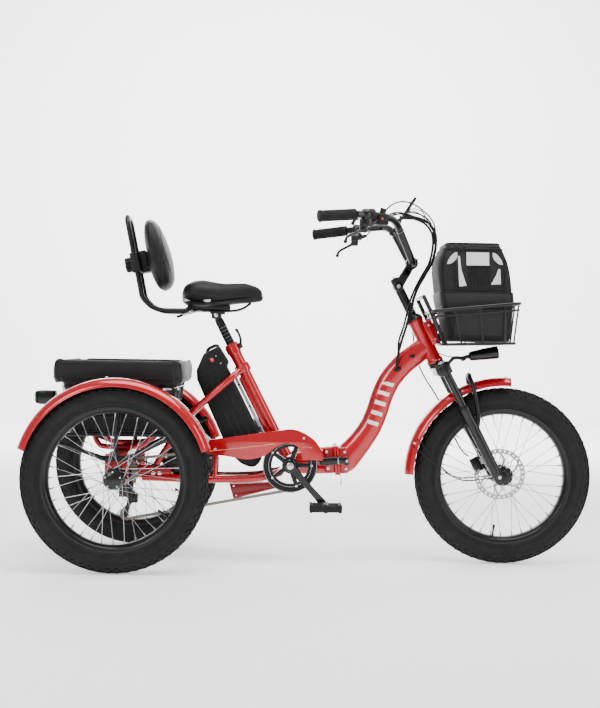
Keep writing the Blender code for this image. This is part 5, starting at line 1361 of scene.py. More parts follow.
def make_crank_arm(end, y):
    along = (end - BB).normalized()
    width_axis = along.cross(ACROSS)
    rings = []
    for t, half_w, half_t in ((0.0, 0.015, 0.007), (0.08, 0.0145, 0.007), (0.3, 0.0105, 0.0062),
                              (0.65, 0.0095, 0.0058), (0.92, 0.0115, 0.0064), (1.0, 0.012, 0.0066)):
        at = BB.lerp(end, t) + ACROSS * y
        rings.append([at + width_axis * half_w * a + ACROSS * half_t * b for a, b in (
            (-1.0, 0.55), (-0.8, 1.0), (0.8, 1.0), (1.0, 0.55), (1.0, -0.55), (0.8, -1.0),
            (-0.8, -1.0), (-1.0, -0.55))])
    arm = cage(rings)
    parts = [arm]
    for at, radius in ((BB, 0.0185), (end, 0.0135)):
        parts.append(cylinder(at + ACROSS * (y - 0.0077), at + ACROSS * (y + 0.0077), radius,
                              sides=40, edge=0.0018))
    return join(*parts)


def make_crankset():
    ring_at = BB + ACROSS * CHAIN_Y
    chainring = toothed(ring_at, CHAINRING_R, 46, 0.0026, 0.056)
    spider = []
    arm = cylinder(ring_at + UP * 0.016, ring_at + UP * 0.0625, 0.006, 0.0046, sides=20, edge=0.001)
    arm.data.transform(Matrix.Translation(ring_at) @ Matrix.Diagonal((1.35, 0.4, 1.0, 1.0))
                       @ Matrix.Translation(-ring_at))
    spider.append(repeat(arm, turns(ring_at, 5, start=18.0)))
    spider.append(spun([(0.0, 0.003), (0.024, 0.003), (0.025, 0.0015), (0.025, -0.003),
                        (0.0, -0.003)], ring_at, ACROSS, 40))
    fit(join(chainring, *spider), "chainring_and_spider", RIM_BLACK, "crank",
        ["crankset"])
    guard = spun([(0.0826, -0.0054), (0.0834, -0.0062), (0.0826, -0.0072), (0.064, -0.0072),
                  (0.0632, -0.0062), (0.064, -0.0054)], ring_at, ACROSS, 96, closed=True)
    posts = repeat(cylinder(ring_at + UP * 0.066 + ACROSS * 0.001,
                            ring_at + UP * 0.066 - ACROSS * 0.006, 0.0036, sides=20),
                   turns(ring_at, 5, start=18.0))
    fit(join(guard, posts), "chainring_guard", MATTE_BLACK, "crank")
    # painted highlights: thin silver rings on the black guard's rims and silver strips along the spider
    # arms stand for glints on their edges, joined with the real silver bolts
    lines = [ring(ring_at - ACROSS * 0.0073, ACROSS, r, 0.0006, 96, 6) for r in (0.0815, 0.0655)]
    bolts = repeat(screw_head(ring_at + UP * 0.066 - ACROSS * 0.0072, -ACROSS, 0.0042, 0.0022),
                   turns(ring_at, 5, start=18.0))
    spider_arm_highlights = repeat(pipe([ring_at + Vector((0.0075, -0.003, 0.024)),
                             ring_at + Vector((0.0062, -0.0032, 0.058))], 0.0007, 2, smooth=False),
                       turns(ring_at, 5, start=18.0))
    fit(join(*lines, bolts, spider_arm_highlights), "chainring_bolts_and_painted_highlights", SILVER, "crank")
    right = make_crank_arm(RIGHT_PEDAL, -0.1102)
    left = make_crank_arm(LEFT_PEDAL, 0.0932)
    hub = cylinder(ring_at, BB - ACROSS * 0.104, 0.018, sides=32, edge=0.001)
    spindle = cylinder(BB + ACROSS * 0.088, BB - ACROSS * 0.08, 0.0098, sides=28)
    fit(join(right, left, hub, spindle), "crank_arms", GLOSS_BLACK, "crank")
    caps = [spun([(0.0, 0.0016), (0.0085, 0.0016), (0.0105, 0.0004), (0.0108, -0.001), (0.0, -0.001)],
                 BB + ACROSS * (y + side * 0.0077), ACROSS * side, 32)
            for y, side in ((-0.1102, -1.0), (0.0932, 1.0))]
    fit(join(*caps), "crank_bolt_caps", SILVER, "crank")


def make_pedals():
    for name, at, inner_y, side in (("right", RIGHT_PEDAL, -0.1188, -1.0),
                                    ("left", LEFT_PEDAL, 0.1018, 1.0)):
        middle = at + ACROSS * (inner_y + 0.053 * side)
        barrel = cylinder(middle - ACROSS * 0.044, middle + ACROSS * 0.044, 0.0125, sides=32, edge=0.002)
        parts = [barrel]
        for x in (-0.0435, 0.0435):
            parts.append(block((0.01, 0.092, 0.024), middle + FORE * x, edge=0.0028))
        for y in (-0.042, -0.014, 0.014, 0.042):
            parts.append(block((0.086, 0.007, 0.02), middle + ACROSS * y, edge=0.002))
        stud = spun([(0.0, 0.0012), (0.0016, 0.0012), (0.0024, -0.001), (0.0, -0.001)],
                    middle + UP * 0.012 + FORE * 0.0435 + ACROSS * -0.036, UP, 8)
        grips = [Matrix.Translation((dx, dy, 0.0)) for dx in (0.0, -0.087)
                 for dy in (0.0, 0.018, 0.036, 0.054, 0.072)]
        top = repeat(stud, grips)
        parts.append(top)
        fit(join(*parts), name + "_pedal_cage", MATTE_BLACK, name + "_pedal",
            [name + "_pedal"])
        lenses = [block((0.003, 0.044, 0.013), middle + FORE * x, edge=0.0012)
                  for x in (-0.0482, 0.0482)]
        fit(join(*lenses), name + "_pedal_reflectors", AMBER_LENS, name + "_pedal")
        shaft = cylinder(at + ACROSS * (inner_y + 0.0006 * side), middle, 0.007, sides=24, edge=0.001)
        flats = cylinder(at + ACROSS * (inner_y + 0.0012 * side), at + ACROSS * (inner_y + 0.0065 * side),
                         0.0092, sides=6, edge=0.0006)
        fit(join(shaft, flats), name + "_pedal_spindle", SILVER, name + "_pedal")


def chain_loop():
    ring_at = Vector((BB.x, CHAIN_Y, BB.z))
    cog = Vector((REAR_AXLE.x, CHAIN_Y, REAR_AXLE.z))
    loop = arc(ring_at, CHAINRING_R, -82.0, 94.0, 40)
    loop += arc(cog, COG_R, 94.0, 250.0, 24)
    loop += arc(UPPER_PULLEY, 0.015, 50.0, -30.0, 8)
    loop += arc(LOWER_PULLEY, 0.015, 140.0, 278.0, 12)
    return loop


def make_chain():
    """Roller chain: link plates and rollers placed along the loop at the chain's pitch."""
    loop = chain_loop()
    lengths = [(loop[(i + 1) % len(loop)] - p).length for i, p in enumerate(loop)]
    count = int(sum(lengths) / 0.0127 / 2) * 2
    pitch = sum(lengths) / count
    walk, i, used = [], 0, 0.0
    for k in range(count):
        target = k * pitch
        while used + lengths[i] < target:
            used += lengths[i]
            i += 1
        walk.append(loop[i].lerp(loop[(i + 1) % len(loop)], (target - used) / lengths[i]))
    outer, inner, rollers = [], [], []
    for k, here in enumerate(walk):
        there = walk[(k + 1) % count]
        along = (there - here).normalized()
        middle = (here + there) / 2
        spread = 0.0034 if k % 2 else 0.0024
        for side in (1.0, -1.0):
            link_plate = block((pitch + 0.0072, 0.001, 0.0084), middle + ACROSS * spread * side, along,
                               along.cross(ACROSS), 0.0)
            (outer if k % 2 else inner).append(link_plate)
        rollers.append(cylinder(here - ACROSS * 0.004, here + ACROSS * 0.004, 0.0026, sides=8))
    chain = join(*outer, *inner, *rollers)
    fit(chain, "roller_chain", CHAIN_STEEL, "rear_frame", ["chain"], 30.0)


def make_cassette():
    discs = []
    for k, teeth in enumerate((28, 24, 20, 17, 14)):
        centre = Vector((REAR_AXLE.x, CHAIN_Y + 0.015 - k * 0.0048 - 0.002, REAR_AXLE.z))
        pitch_r = (0.043, 0.0395, 0.0358, 0.03, 0.0262)[k]
        discs.append(toothed(centre, pitch_r, teeth, 0.0018, 0.0215))
    body = spun([(0.0212, 0.014), (0.0245, 0.014), (0.0245, -0.0125), (0.023, -0.014),
                 (0.0212, -0.014)], REAR_AXLE + ACROSS * CHAIN_Y, ACROSS, 40, closed=True)
    fit(join(body, *discs), "cassette_sprockets", CHAIN_STEEL, "cassette", ["cassette"], 30.0)


def make_derailleur():
    parts = []
    for at in (UPPER_PULLEY, LOWER_PULLEY):
        parts.append(toothed(at - ACROSS * 0.0004, 0.0112, 11, 0.0022, 0.003))
    middle = (UPPER_PULLEY + LOWER_PULLEY) / 2
    along = (UPPER_PULLEY - LOWER_PULLEY).normalized()
    for y in (-0.006, 0.0046):
        parts.append(block((0.064, 0.0016, 0.013), middle + ACROSS * y, along, along.cross(ACROSS),
                           0.001))
        for at in (UPPER_PULLEY, LOWER_PULLEY):
            parts.append(cylinder(at + ACROSS * (y - 0.0008), at + ACROSS * (y + 0.0008), 0.009,
                                  sides=32))
    fit(join(*parts), "derailleur_cage", BLACK_PAINT, "rear_frame", ["derailleur"])
    body = block((0.03, 0.013, 0.03), (-0.548, CHAIN_Y - 0.0125, 0.196), (1, 0, 0.5), UP, 0.005)
    link_arm = block((0.014, 0.011, 0.05), (-0.556, CHAIN_Y - 0.015, 0.22), (1, 0, 0.2), (0.1, 0, 1),
                     0.004)
    knuckle = cylinder((-0.562, -0.093, 0.24), (-0.562, -0.112, 0.24), 0.01, sides=32,
                       edge=0.0016)
    fit(join(body, link_arm, knuckle), "derailleur_body", BLACK_PAINT, "rear_frame")
    cable = pipe([(-0.564, -0.108, 0.245), (-0.59, -0.108, 0.25), (-0.595, -0.1, 0.29),
                  (-0.55, -0.09, 0.315), (-0.47, -0.076, 0.292), (-0.35, -0.074, 0.278),
                  (-0.2, -0.07, 0.276), (-0.12, -0.056, 0.29)], 0.0023, 3)
    fit(cable, "shift_cable", CABLE, "rear_frame")


GUARD_TOP = [(-0.328, 0.335), (-0.329, 0.3745), (-0.218, 0.3915), (-0.1085, 0.4079),
             (-0.07, 0.4131), (-0.0356, 0.4048), (0.0036, 0.3797), (0.026, 0.345),
             (0.029, 0.319), (-0.032, 0.319), (-0.039, 0.342), (-0.05, 0.36),
             (-0.08, 0.37), (-0.115, 0.356), (-0.15, 0.33), (-0.2013, 0.3184),
             (-0.2575, 0.326)]
GUARD_Y = CHAIN_Y - 0.0115


def make_chain_guard():
    """A pressed red guard over the chain's top run, with a rolled rim and a fine gold line."""
    points = [Vector((x, 0.0, z)) for x, z in GUARD_TOP]
    smooth = smooth_path(points[2:9], 6) + smooth_path(points[9:17], 6) + points[0:2]
    shell = plate([(p.x, p.z) for p in smooth], 0.0024, GUARD_Y, 0.0008)
    flange_line = [(p.x, GUARD_Y + 0.006, p.z - 0.001) for p in smooth_path(points[1:9], 6)]
    flange = pipe(flange_line, 0.0011, 3, smooth=False)
    for vertex in flange.data.vertices:
        vertex.co.y = GUARD_Y + 0.006 + (vertex.co.y - GUARD_Y - 0.006) * 6.0
    stay = cylinder((-0.3, GUARD_Y, 0.348), (-0.3, -0.07, 0.348), 0.0042, sides=24)
    foot = block((0.012, 0.005, 0.089), (-0.3, -0.079, 0.303), edge=0.0015)
    fit(join(shell, flange, stay, foot), "chain_guard_shell", RED, "rear_frame",
        ["chain_guard"])
    line = pipe([(-0.318, GUARD_Y - 0.0013, 0.342), (-0.2, GUARD_Y - 0.0013, 0.356),
                 (-0.118, GUARD_Y - 0.0013, 0.3675)], 0.0007, 2)
    low = pipe([(-0.034, GUARD_Y - 0.0013, 0.356), (-0.02, GUARD_Y - 0.0013, 0.36),
                (-0.005, GUARD_Y - 0.0013, 0.356)], 0.0006, 2)
    fit(join(line, low), "chain_guard_pinstripe", GOLD_LINE, "rear_frame")
    bolts = [screw_head((-0.3, GUARD_Y - 0.0012, 0.348), -ACROSS, 0.005, 0.003),
             screw_head((-0.03, GUARD_Y - 0.0012, 0.386), -ACROSS, 0.0044, 0.003)]
    fit(join(*bolts), "chain_guard_screws", SILVER, "rear_frame")


def make_motor_and_boxes():
    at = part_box("drive_motor")
    centre = (at[0] + at[1]) / 2
    case = spun([(0.0, 0.048), (0.03, 0.0478), (0.034, 0.0462), (0.066, 0.045), (0.074, 0.043),
                 (0.0815, 0.037), (0.0838, 0.032), (0.0838, 0.006), (0.0822, 0.0045),
                 (0.0822, -0.0045), (0.0838, -0.006), (0.0838, -0.032), (0.0815, -0.037),
                 (0.074, -0.043), (0.066, -0.045), (0.034, -0.0462), (0.03, -0.0478),
                 (0.0, -0.048)], centre, ACROSS, 64)
    ribs = repeat(block((0.0022, 0.026, 0.008), centre + UP * 0.08 + ACROSS * 0.019, edge=0.0006),
                  turns(centre, 24))
    boss = cylinder(centre + ACROSS * 0.05, centre - ACROSS * 0.05, 0.01, sides=28, edge=0.0012)
    fit(join(case, ribs, boss), "motor_case", BLACK_PAINT, "rear_frame",
        ["drive_motor"])
    bolts = repeat(screw_head(centre + UP * 0.069 - ACROSS * 0.0446, -ACROSS, 0.004, 0.0026),
                   turns(centre, 8))
    fit(bolts, "motor_case_screws", SILVER, "rear_frame")
    label = block((0.03, 0.0006, 0.018), centre + Vector((-0.01, -0.0463, 0.04)), edge=0.0002)
    fit(label, "motor_plain_label", WHITE_MARK, "rear_frame")
    outline = [(-0.2581, 0.238), (-0.2442, 0.1903), (-0.0849, 0.233), (-0.125, 0.244)]
    box_shell = plate(outline[::-1], 0.0735, 0.0, 0.004)
    fit(box_shell, "controller_case", DEEP_RED, "rear_frame", ["controller_box"])
    screws = [screw_head((x, -0.0366, z), -ACROSS, 0.0034, 0.002)
              for x, z in ((-0.244, 0.231), (-0.236, 0.202), (-0.124, 0.236))]
    fit(join(*screws), "controller_screws", SILVER, "rear_frame")


BATTERY = [(-0.3441, 0.6384), (-0.2969, 0.6651), (-0.267, 0.618), (-0.27, 0.5985),
           (-0.164, 0.39), (-0.156, 0.335), (-0.164, 0.306), (-0.185, 0.2905),
           (-0.22, 0.3), (-0.252, 0.33), (-0.282, 0.3811), (-0.3626, 0.5577),
           (-0.365, 0.588)]


def make_battery():
    foot = smooth_path([(x, 0.0, z) for x, z in BATTERY[4:11]], 5)
    outline = BATTERY[:4] + [(p.x, p.z) for p in foot] + BATTERY[11:]
    shell = plate(outline, 0.087, 0.0, 0.01)
    fit(shell, "battery_case", MATTE_BLACK, "battery", ["battery"], 50.0)
    seam_low, seam_high = Vector((-0.356, 0.0, 0.57)), Vector((-0.264, 0.0, 0.612))
    seam = [Vector((seam_low.x, y, seam_low.z)) for y in (-0.0438,)] + [
        Vector((seam_high.x, -0.0438, seam_high.z))]
    band = pipe(seam, 0.0009, 2, smooth=False)
    band = join(band, mirrored(band))
    grooves = []
    for off in (-0.018, 0.0, 0.018):
        low = Vector((-0.205 + off, -0.0434, 0.36 + off * 0.45))
        high = Vector((-0.305 + off, -0.0434, 0.556 + off * 0.45))
        grooves.append(pipe([low, high], 0.0014, 3, smooth=False))
    both = [mirrored(g) for g in grooves]
    fit(join(band, *grooves, *both), "battery_ribs", GLOSS_BLACK, "battery")
    handle = pipe([(-0.335, -0.02, 0.64), (-0.33, -0.02, 0.654), (-0.306, -0.02, 0.666),
                   (-0.298, -0.02, 0.656)], 0.0046, 5)
    handle = join(handle, mirrored(handle), block((0.032, 0.044, 0.006), (-0.319, 0.0, 0.659),
                                                  (0.87, 0, 0.49), (-0.49, 0, 0.87), 0.002))
    fit(handle, "battery_handle", MATTE_BLACK, "battery")
    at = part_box("power_button")
    middle = (at[0] + at[1]) / 2
    collar = ring(Vector((middle.x, -0.0436, middle.z)), ACROSS, 0.0084, 0.0014, 40, 8)
    fit(collar, "power_button_ring", GLOSS_BLACK, "battery")
    cap = spun([(0.0, 0.004), (0.0045, 0.0038), (0.0062, 0.0024), (0.0065, 0.0), (0.0065, -0.004),
                (0.0, -0.004)], Vector((middle.x, -0.0434, middle.z)), -ACROSS, 32)
    fit(cap, "power_button_cap", RED_LENS, "power_button", ["power_button"])
    dots = [screw_head((x, -0.0434, z), -ACROSS, 0.0024, 0.0012)
            for x, z in ((-0.305, 0.633), (-0.29, 0.61))]
    fit(join(*dots), "battery_indicator_studs", SILVER, "battery")
    fit(block((0.009, 0.039, 0.229), seat(0.215, -0.033), SEAT_FORE, SEAT_UP, 0.0014),
        "battery_slide_rail", RAIL_ALLOY, "rear_frame", ["battery_rail"])
    screws = [screw_head(seat(s, -0.033, -0.0195), -ACROSS, 0.003, 0.002) for s in (0.14, 0.215, 0.29)]
    fit(join(*screws), "battery_rail_screws", GLOSS_BLACK, "rear_frame")


# ---- fork -------------------------------------------------------------------------------------
ARCH = [(-0.245, 0.012, LEG_Y), (-0.2, 0.04, LEG_Y), (-0.125, 0.064, 0.052),
        (-0.09, 0.072, 0.024), (-0.083, 0.075, 0.0)]


def make_fork():
    crown = block((0.048, 2 * LEG_Y + 0.036, 0.034), steer(-0.029, 0.006), STEER_FORE, STEER_UP, 0.011, 5)
    sockets = [spun([(0.0128, -0.019), (0.019, -0.0185), (0.0198, -0.015), (0.0198, 0.017),
                     (0.018, 0.0195), (0.0, 0.02), (0.0, -0.019)], steer(-0.029, 0.01, y), STEER_UP,
                    40) for y in (LEG_Y, -LEG_Y)]
    base = cylinder(steer(-0.014), steer(-0.008), 0.0262, 0.025, sides=48, edge=0.001)
    arm = pipe([steer(-0.028, 0.026), steer(-0.018, 0.046), steer(-0.016, 0.06), steer(-0.026, 0.078)],
               0.0058, 5)
    cheek = block((0.016, 0.02, 0.014), steer(-0.03, 0.083), STEER_FORE, STEER_UP, 0.003)
    lamp_at = PIVOT["headlight_tilt"]
    arm = join(arm, cylinder(steer(-0.026, 0.078), lamp_at + Vector((0.01, 0, 0.0016)), 0.0056, 0.007,
                             24, 0.001))
    fit(join(crown, base, arm, cheek, *sockets), "fork_crown_casting", BLACK_PAINT, "steering",
        ["fork_crown"])
    tubes = [cylinder(steer(-0.03, 0.01, y), steer(-0.238, 0.01, y), 0.0127, sides=40)
             for y in (LEG_Y, -LEG_Y)]
    fit(join(*tubes), "fork_stanchions", GLOSS_BLACK, "steering")
    knobs = [spun([(0.0, 0.006), (0.008, 0.0055), (0.0108, 0.003), (0.0112, -0.001), (0.0, -0.001)],
                  steer(-0.0085, 0.01, y), STEER_UP, 32) for y in (LEG_Y, -LEG_Y)]
    fit(join(*knobs), "fork_top_caps", SILVER, "steering")
    lowers = []
    for side in (1.0, -1.0):
        y = LEG_Y * side
        lowers.append(spun([(0.0133, -0.1652), (0.0172, -0.165), (0.0176, -0.172), (0.0164, -0.176),
                            (0.016, -0.26), (0.0157, -0.37), (0.015, -0.412), (0.0115, -0.4235),
                            (0.0, -0.425), (0.0, -0.285), (0.0133, -0.285)], steer(0.0, 0.01, y),
                           STEER_UP, 48))
        lowers.append(block((0.036, 0.0058, 0.034), steer(-0.41, 0.022, 0.0545 * side), STEER_FORE,
                            STEER_UP, 0.0024))
    half = [steer(s, f, y) for s, f, y in ARCH]
    other = [steer(s, f, -y) for s, f, y in ARCH[:-1]]
    lowers.append(pipe(half + other[::-1], 0.0075, 6, per_span=8, radii=[1.25, 1.0, 0.95, 1.0, 1.1, 1.0,
                                                                        0.95, 1.0, 1.25]))
    fit(join(*lowers), "fork_lower_legs", BLACK_PAINT, "fork_lower", ["fork_lowers"])
    seals = [spun([(0.0129, 0.004), (0.015, 0.0035), (0.0168, 0.001), (0.017, -0.005),
                   (0.0129, -0.005)], steer(-0.161, 0.01, y), STEER_UP, 40, closed=True)
             for y in (LEG_Y, -LEG_Y)]
    fit(join(*seals), "fork_wiper_seals", GRIP, "fork_lower")
    body = block((0.03, 0.009, 0.048), steer(-0.352, -0.023, 0.048), STEER_FORE, STEER_UP, 0.004)
    pads = [block((0.028, 0.0036, 0.03), steer(-0.352, -0.0235, 0.0415 + dy), STEER_FORE, STEER_UP,
                  0.001) for dy in (-0.0042, 0.0044)]
    piston = cylinder(steer(-0.352, -0.024, 0.052), steer(-0.352, -0.024, 0.0575), 0.011, sides=32,
                      edge=0.0012)
    mount = block((0.016, 0.008, 0.046), steer(-0.352, -0.006, 0.052), STEER_FORE, STEER_UP, 0.003)
    fit(join(body, piston, mount, *pads), "disc_caliper", BLACK_PAINT, "fork_lower",
        ["brake_caliper"])
    bolts = [screw_head(steer(s, -0.024, 0.0526), ACROSS, 0.0034, 0.003) for s in (-0.372, -0.332)]
    bolts += [screw_head(steer(-0.402, 0.012, 0.0775 * side), ACROSS * side, 0.0062, 0.004)
              for side in (1.0, -1.0)]
    fit(join(*bolts), "caliper_and_dropout_bolts", SILVER, "fork_lower")


def make_headlight():
    at = PIVOT["headlight_tilt"]
    along = Vector((math.cos(0.16), 0.0, math.sin(0.16)))
    case = spun([(0.0, 0.0045), (0.009, 0.005), (0.013, 0.008), (0.015, 0.016), (0.0165, 0.035),
                 (0.0185, 0.055), (0.0196, 0.08), (0.0199, 0.093), (0.0192, 0.0955),
                 (0.0178, 0.095), (0.0172, 0.09), (0.0, 0.088)], at, along, 48)
    visor = spun([(0.0194, 0.078), (0.0201, 0.079), (0.0201, 0.0975), (0.0194, 0.0978)], at, along, 48,
                 closed=True)
    fins = [ring(at + along * s, along, 0.0158 + (s - 0.02) * 0.04, 0.001, 40, 6)
            for s in (0.02, 0.026, 0.032, 0.038)]
    fit(join(case, visor, *fins), "headlight_case", GLOSS_BLACK, "headlight",
        ["headlight"])
    lens = spun([(0.0, 0.0965), (0.009, 0.096), (0.015, 0.0945), (0.0176, 0.0925), (0.0, 0.0915)],
                at, along, 40)
    fit(lens, "headlight_lens", CLEAR_LENS, "headlight")
    wire = pipe([at + along * 0.006 + Vector((0, -0.004, 0)), steer(-0.02, 0.07, -0.01),
                 steer(-0.004, 0.045, -0.02), steer(0.006, 0.032, -0.026), steer(0.02, 0.02, -0.026)],
                0.0018, 3)
    fit(wire, "headlight_wire", CABLE, "steering")


# ---- handlebar --------------------------------------------------------------------------------
BAR_CLAMP = Vector((0.3, 0.0, 0.931))
BAR_LINE = [(0.3, 0.0, 0.931), (0.2995, 0.028, 0.9312), (0.2955, 0.046, 0.94),
            (0.285, 0.06, 0.962), (0.264, 0.08, 1.006), (0.247, 0.1, 1.038),
            (0.224, 0.14, 1.055), (0.18, 0.203, 1.058), (0.14, 0.245, 1.057)]
GRIP_IN = Vector((0.1115, 0.264, 1.055))
GRIP_END = Vector((0.0, 0.31, 1.0435))
LEVER_LINE = [(0.133, 0.247, 1.015), (0.12, 0.256, 1.006), (0.1, 0.27, 0.996),
              (0.084, 0.282, 0.986), (0.079, 0.287, 0.973)]


def make_stem():
    post = spun([(0.0, 0.0), (0.0136, 0.0), (0.0136, 0.146), (0.02, 0.1462), (0.0202, 0.156),
                 (0.018, 0.16), (0.0146, 0.162), (0.0143, 0.286), (0.0136, 0.29), (0.0, 0.291)],
                steer(0.0), STEER_UP, 56)
    fit(post, "handlepost_tube", BLACK_PAINT, "steering", ["handlepost"])
    lines = [ring(steer(s), STEER_UP, 0.0145, 0.0005, 40, 6) for s in (0.172, 0.178, 0.252)]
    cap_bolt = screw_head(steer(0.2908), STEER_UP, 0.006, 0.0035)
    fit(join(*lines, cap_bolt), "handlepost_bright_rings", STEEL, "steering")
    along = (BAR_CLAMP - STEM_PIVOT).normalized()
    side_axis = along.cross(ACROSS)
    parts = []
    for side in (1.0, -1.0):
        parts.append(block((0.07, 0.006, 0.026), STEM_PIVOT + along * 0.027 + ACROSS * 0.0178 * side,
                           along, side_axis, 0.002))
        parts.append(cylinder(STEM_PIVOT + ACROSS * 0.0148 * side, STEM_PIVOT + ACROSS * 0.0208 * side,
                              0.015, sides=40, edge=0.0014))
    parts.append(block((0.036, 0.0416, 0.026), STEM_PIVOT + along * 0.056, along, side_axis, 0.006))
    parts.append(spun([(0.0121, -0.0208), (0.0178, -0.0208), (0.019, -0.019), (0.019, 0.019),
                       (0.0178, 0.0208), (0.0121, 0.0208)], BAR_CLAMP, ACROSS, 48, closed=True))
    fit(join(*parts), "adjustable_stem", BLACK_PAINT, "handlebar", ["stem_arm"])
    bolts = [screw_head(STEM_PIVOT + ACROSS * 0.0208 * side, ACROSS * side, 0.007, 0.004)
             for side in (1.0, -1.0)]
    bolts += [screw_head(BAR_CLAMP + along * 0.0175 + side_axis * 0.009 * k + ACROSS * 0.013 * side,
                         along, 0.0036, 0.003) for side in (1.0, -1.0) for k in (1.0, -1.0)]
    fit(join(*bolts), "stem_bolts", SILVER, "handlebar")


def make_handlebar():
    half = [Vector(p) for p in BAR_LINE + [tuple(GRIP_IN)]]
    line = [flip(p) for p in half[:0:-1]] + half
    bar = pipe(line, 0.0111, 6, per_span=8)
    fit(bar, "riser_bar", BLACK_PAINT, "handlebar", ["handlebar"])
    seams = [ring(Vector((0.2555, 0.09 * side, 1.022)), (-0.36, 0.42 * side, 0.8), 0.0114, 0.0008,
                  36, 6) for side in (1.0, -1.0)]
    fit(join(*seams), "riser_bar_rings", STEEL, "handlebar")
    for name, place in (("right", flip), ("left", Vector)):
        start, end = place(GRIP_IN), place(GRIP_END)
        along = (end - start).normalized()
        low = start + along * 0.0045
        length = (end - low).length
        body = spun([(0.0118, 0.0), (0.0168, 0.0), (0.0176, 0.003), (0.016, 0.0065), (0.0158, 0.02),
                     (0.0164, length * 0.5), (0.0158, length - 0.012), (0.018, length - 0.006),
                     (0.0182, length - 0.001), (0.015, length), (0.0, length)], low, along, 48)
        rib = cylinder(low + along * 0.01 + UP * 0.016, end - along * 0.012 + UP * 0.016, 0.0009,
                       sides=6)
        ribs = repeat(rib, turns(low, 26, along))
        fit(join(body, ribs), name + "_hand_grip", GRIP, "handlebar",
            [name + "_grip"])
        side = place(ACROSS).y
        at = Vector((0.14, 0.243 * side, 1.04))
        toward = place(Vector((-0.93, 0.36, -0.03))).normalized()
        perch = block((0.034, 0.024, 0.026), at + UP * -0.006, toward, UP, 0.005)
        clamp = spun([(0.0112, -0.009), (0.016, -0.009), (0.017, -0.007), (0.017, 0.007),
                      (0.016, 0.009), (0.0112, 0.009)], Vector((0.14, 0.245 * side, 1.057)), toward,
                     40, closed=True)
        nose = cylinder(at + Vector((0.01, -0.004 * side, -0.01)), at + Vector((0.032, -0.014 * side,
                        -0.004)), 0.007, 0.0055, 28, 0.001)
        pivot = block((0.024, 0.016, 0.03), at + Vector((-0.006, 0.003 * side, -0.022)), toward, UP,
                      0.005)
        fit(join(perch, clamp, nose, pivot), name + "_lever_perch", BLACK_PAINT, "handlebar")
        screw = screw_head(at + Vector((0.0, 0.0, -0.019)), -UP, 0.0042, 0.003)
        fit(screw, name + "_perch_screw", SILVER, "handlebar")
        blade = pipe([place(Vector(p)) for p in LEVER_LINE], 0.0045, 6, per_span=8,
                     radii=[1.2, 1.05, 0.95, 0.95, 1.0])
        tip = ball(place(Vector(LEVER_LINE[-1])), 0.0062, segments=24)
        fit(join(blade, tip), name + "_lever_blade", BLACK_PAINT, name + "_brake_lever",
            [name + "_brake_lever"])


def make_controls():
    at = PIVOT["throttle"]
    grip = (flip(GRIP_END) - flip(GRIP_IN)).normalized()
    paddle_root = at + Vector((-0.006, -0.002, 0.0))
    paddle = pipe([at, paddle_root, paddle_root + Vector((-0.006, 0.008, -0.008)),
                   paddle_root + Vector((-0.01, 0.014, -0.016))], 0.0048, 5, radii=[1.1, 1.1, 1.0, 1.2])
    fit(paddle, "thumb_throttle_paddle", MATTE_BLACK, "throttle", ["throttle"])
    drum = spun([(0.0114, -0.01), (0.0178, -0.01), (0.019, -0.007), (0.019, 0.007),
                 (0.0178, 0.01), (0.0114, 0.01)], Vector((0.156, -0.228, 1.0575)), grip, 48,
                closed=True)
    pod = block((0.038, 0.028, 0.034), (0.19, -0.206, 1.047), (-0.93, -0.36, 0.0), UP, 0.006, 4)
    fin = block((0.02, 0.005, 0.022), (0.193, -0.202, 1.07), (-0.93, -0.36, 0.0), (0.3, 0, 1),
                0.002)
    fit(join(drum, pod, fin), "switch_housing", MATTE_BLACK, "handlebar")
    badge = ball((0.187, -0.2205, 1.048), 0.0052, (1.2, 0.25, 1.0), segments=20)
    fit(badge, "horn_button", RED_LENS, "handlebar")
    spot = PIVOT["shifter"]
    knob = cylinder(spot, spot - UP * 0.008, 0.008, sides=32, edge=0.0014)
    paddle = pipe([spot - UP * 0.005, spot + Vector((-0.014, 0.004, -0.006)),
                   spot + Vector((-0.03, 0.006, -0.005))], 0.004, 5, radii=[1.0, 1.0, 1.3])
    fit(join(knob, paddle), "shift_lever", MATTE_BLACK, "shifter", ["shifter"])
    pivot = PIVOT["display_tilt"]
    up = Vector((0.537, 0.0, 0.8436)).normalized()
    face = ACROSS.cross(up)
    centre = pivot + up * 0.032 + Vector((0.004, 0.0, 0.0))
    case = block((0.0095, 0.061, 0.081), centre, face, up, 0.0036, 4)
    bulge = block((0.009, 0.04, 0.036), centre + face * 0.003 - up * 0.016, face, up, 0.003)
    fit(join(case, bulge), "display_case", GLOSS_BLACK, "display", ["display"])
    glass = block((0.001, 0.05, 0.062), centre - face * 0.0047 + up * 0.004, face, up, 0.0004)
    fit(glass, "display_glass_pane", SCREEN, "display")
    keys = [ball(centre - face * 0.0046 - up * 0.034 + ACROSS * y, 0.0036, (1.0, 0.35, 1.3), up, ACROSS
                 .cross(up), 16) for y in (-0.014, 0.0, 0.014)]
    fit(join(*keys), "display_keys", MATTE_BLACK, "display")
    arm = pipe([(0.25, 0.092, 1.04), (0.258, 0.08, 1.052), (0.265, 0.068, 1.064),
                (0.269, 0.056, 1.076)], 0.0055, 5)
    band = ring(Vector((0.249, 0.097, 1.035)), (-0.36, 0.42, 0.8), 0.0118, 0.0032, 36, 8)
    fit(join(arm, band), "display_bracket", MATTE_BLACK, "handlebar")


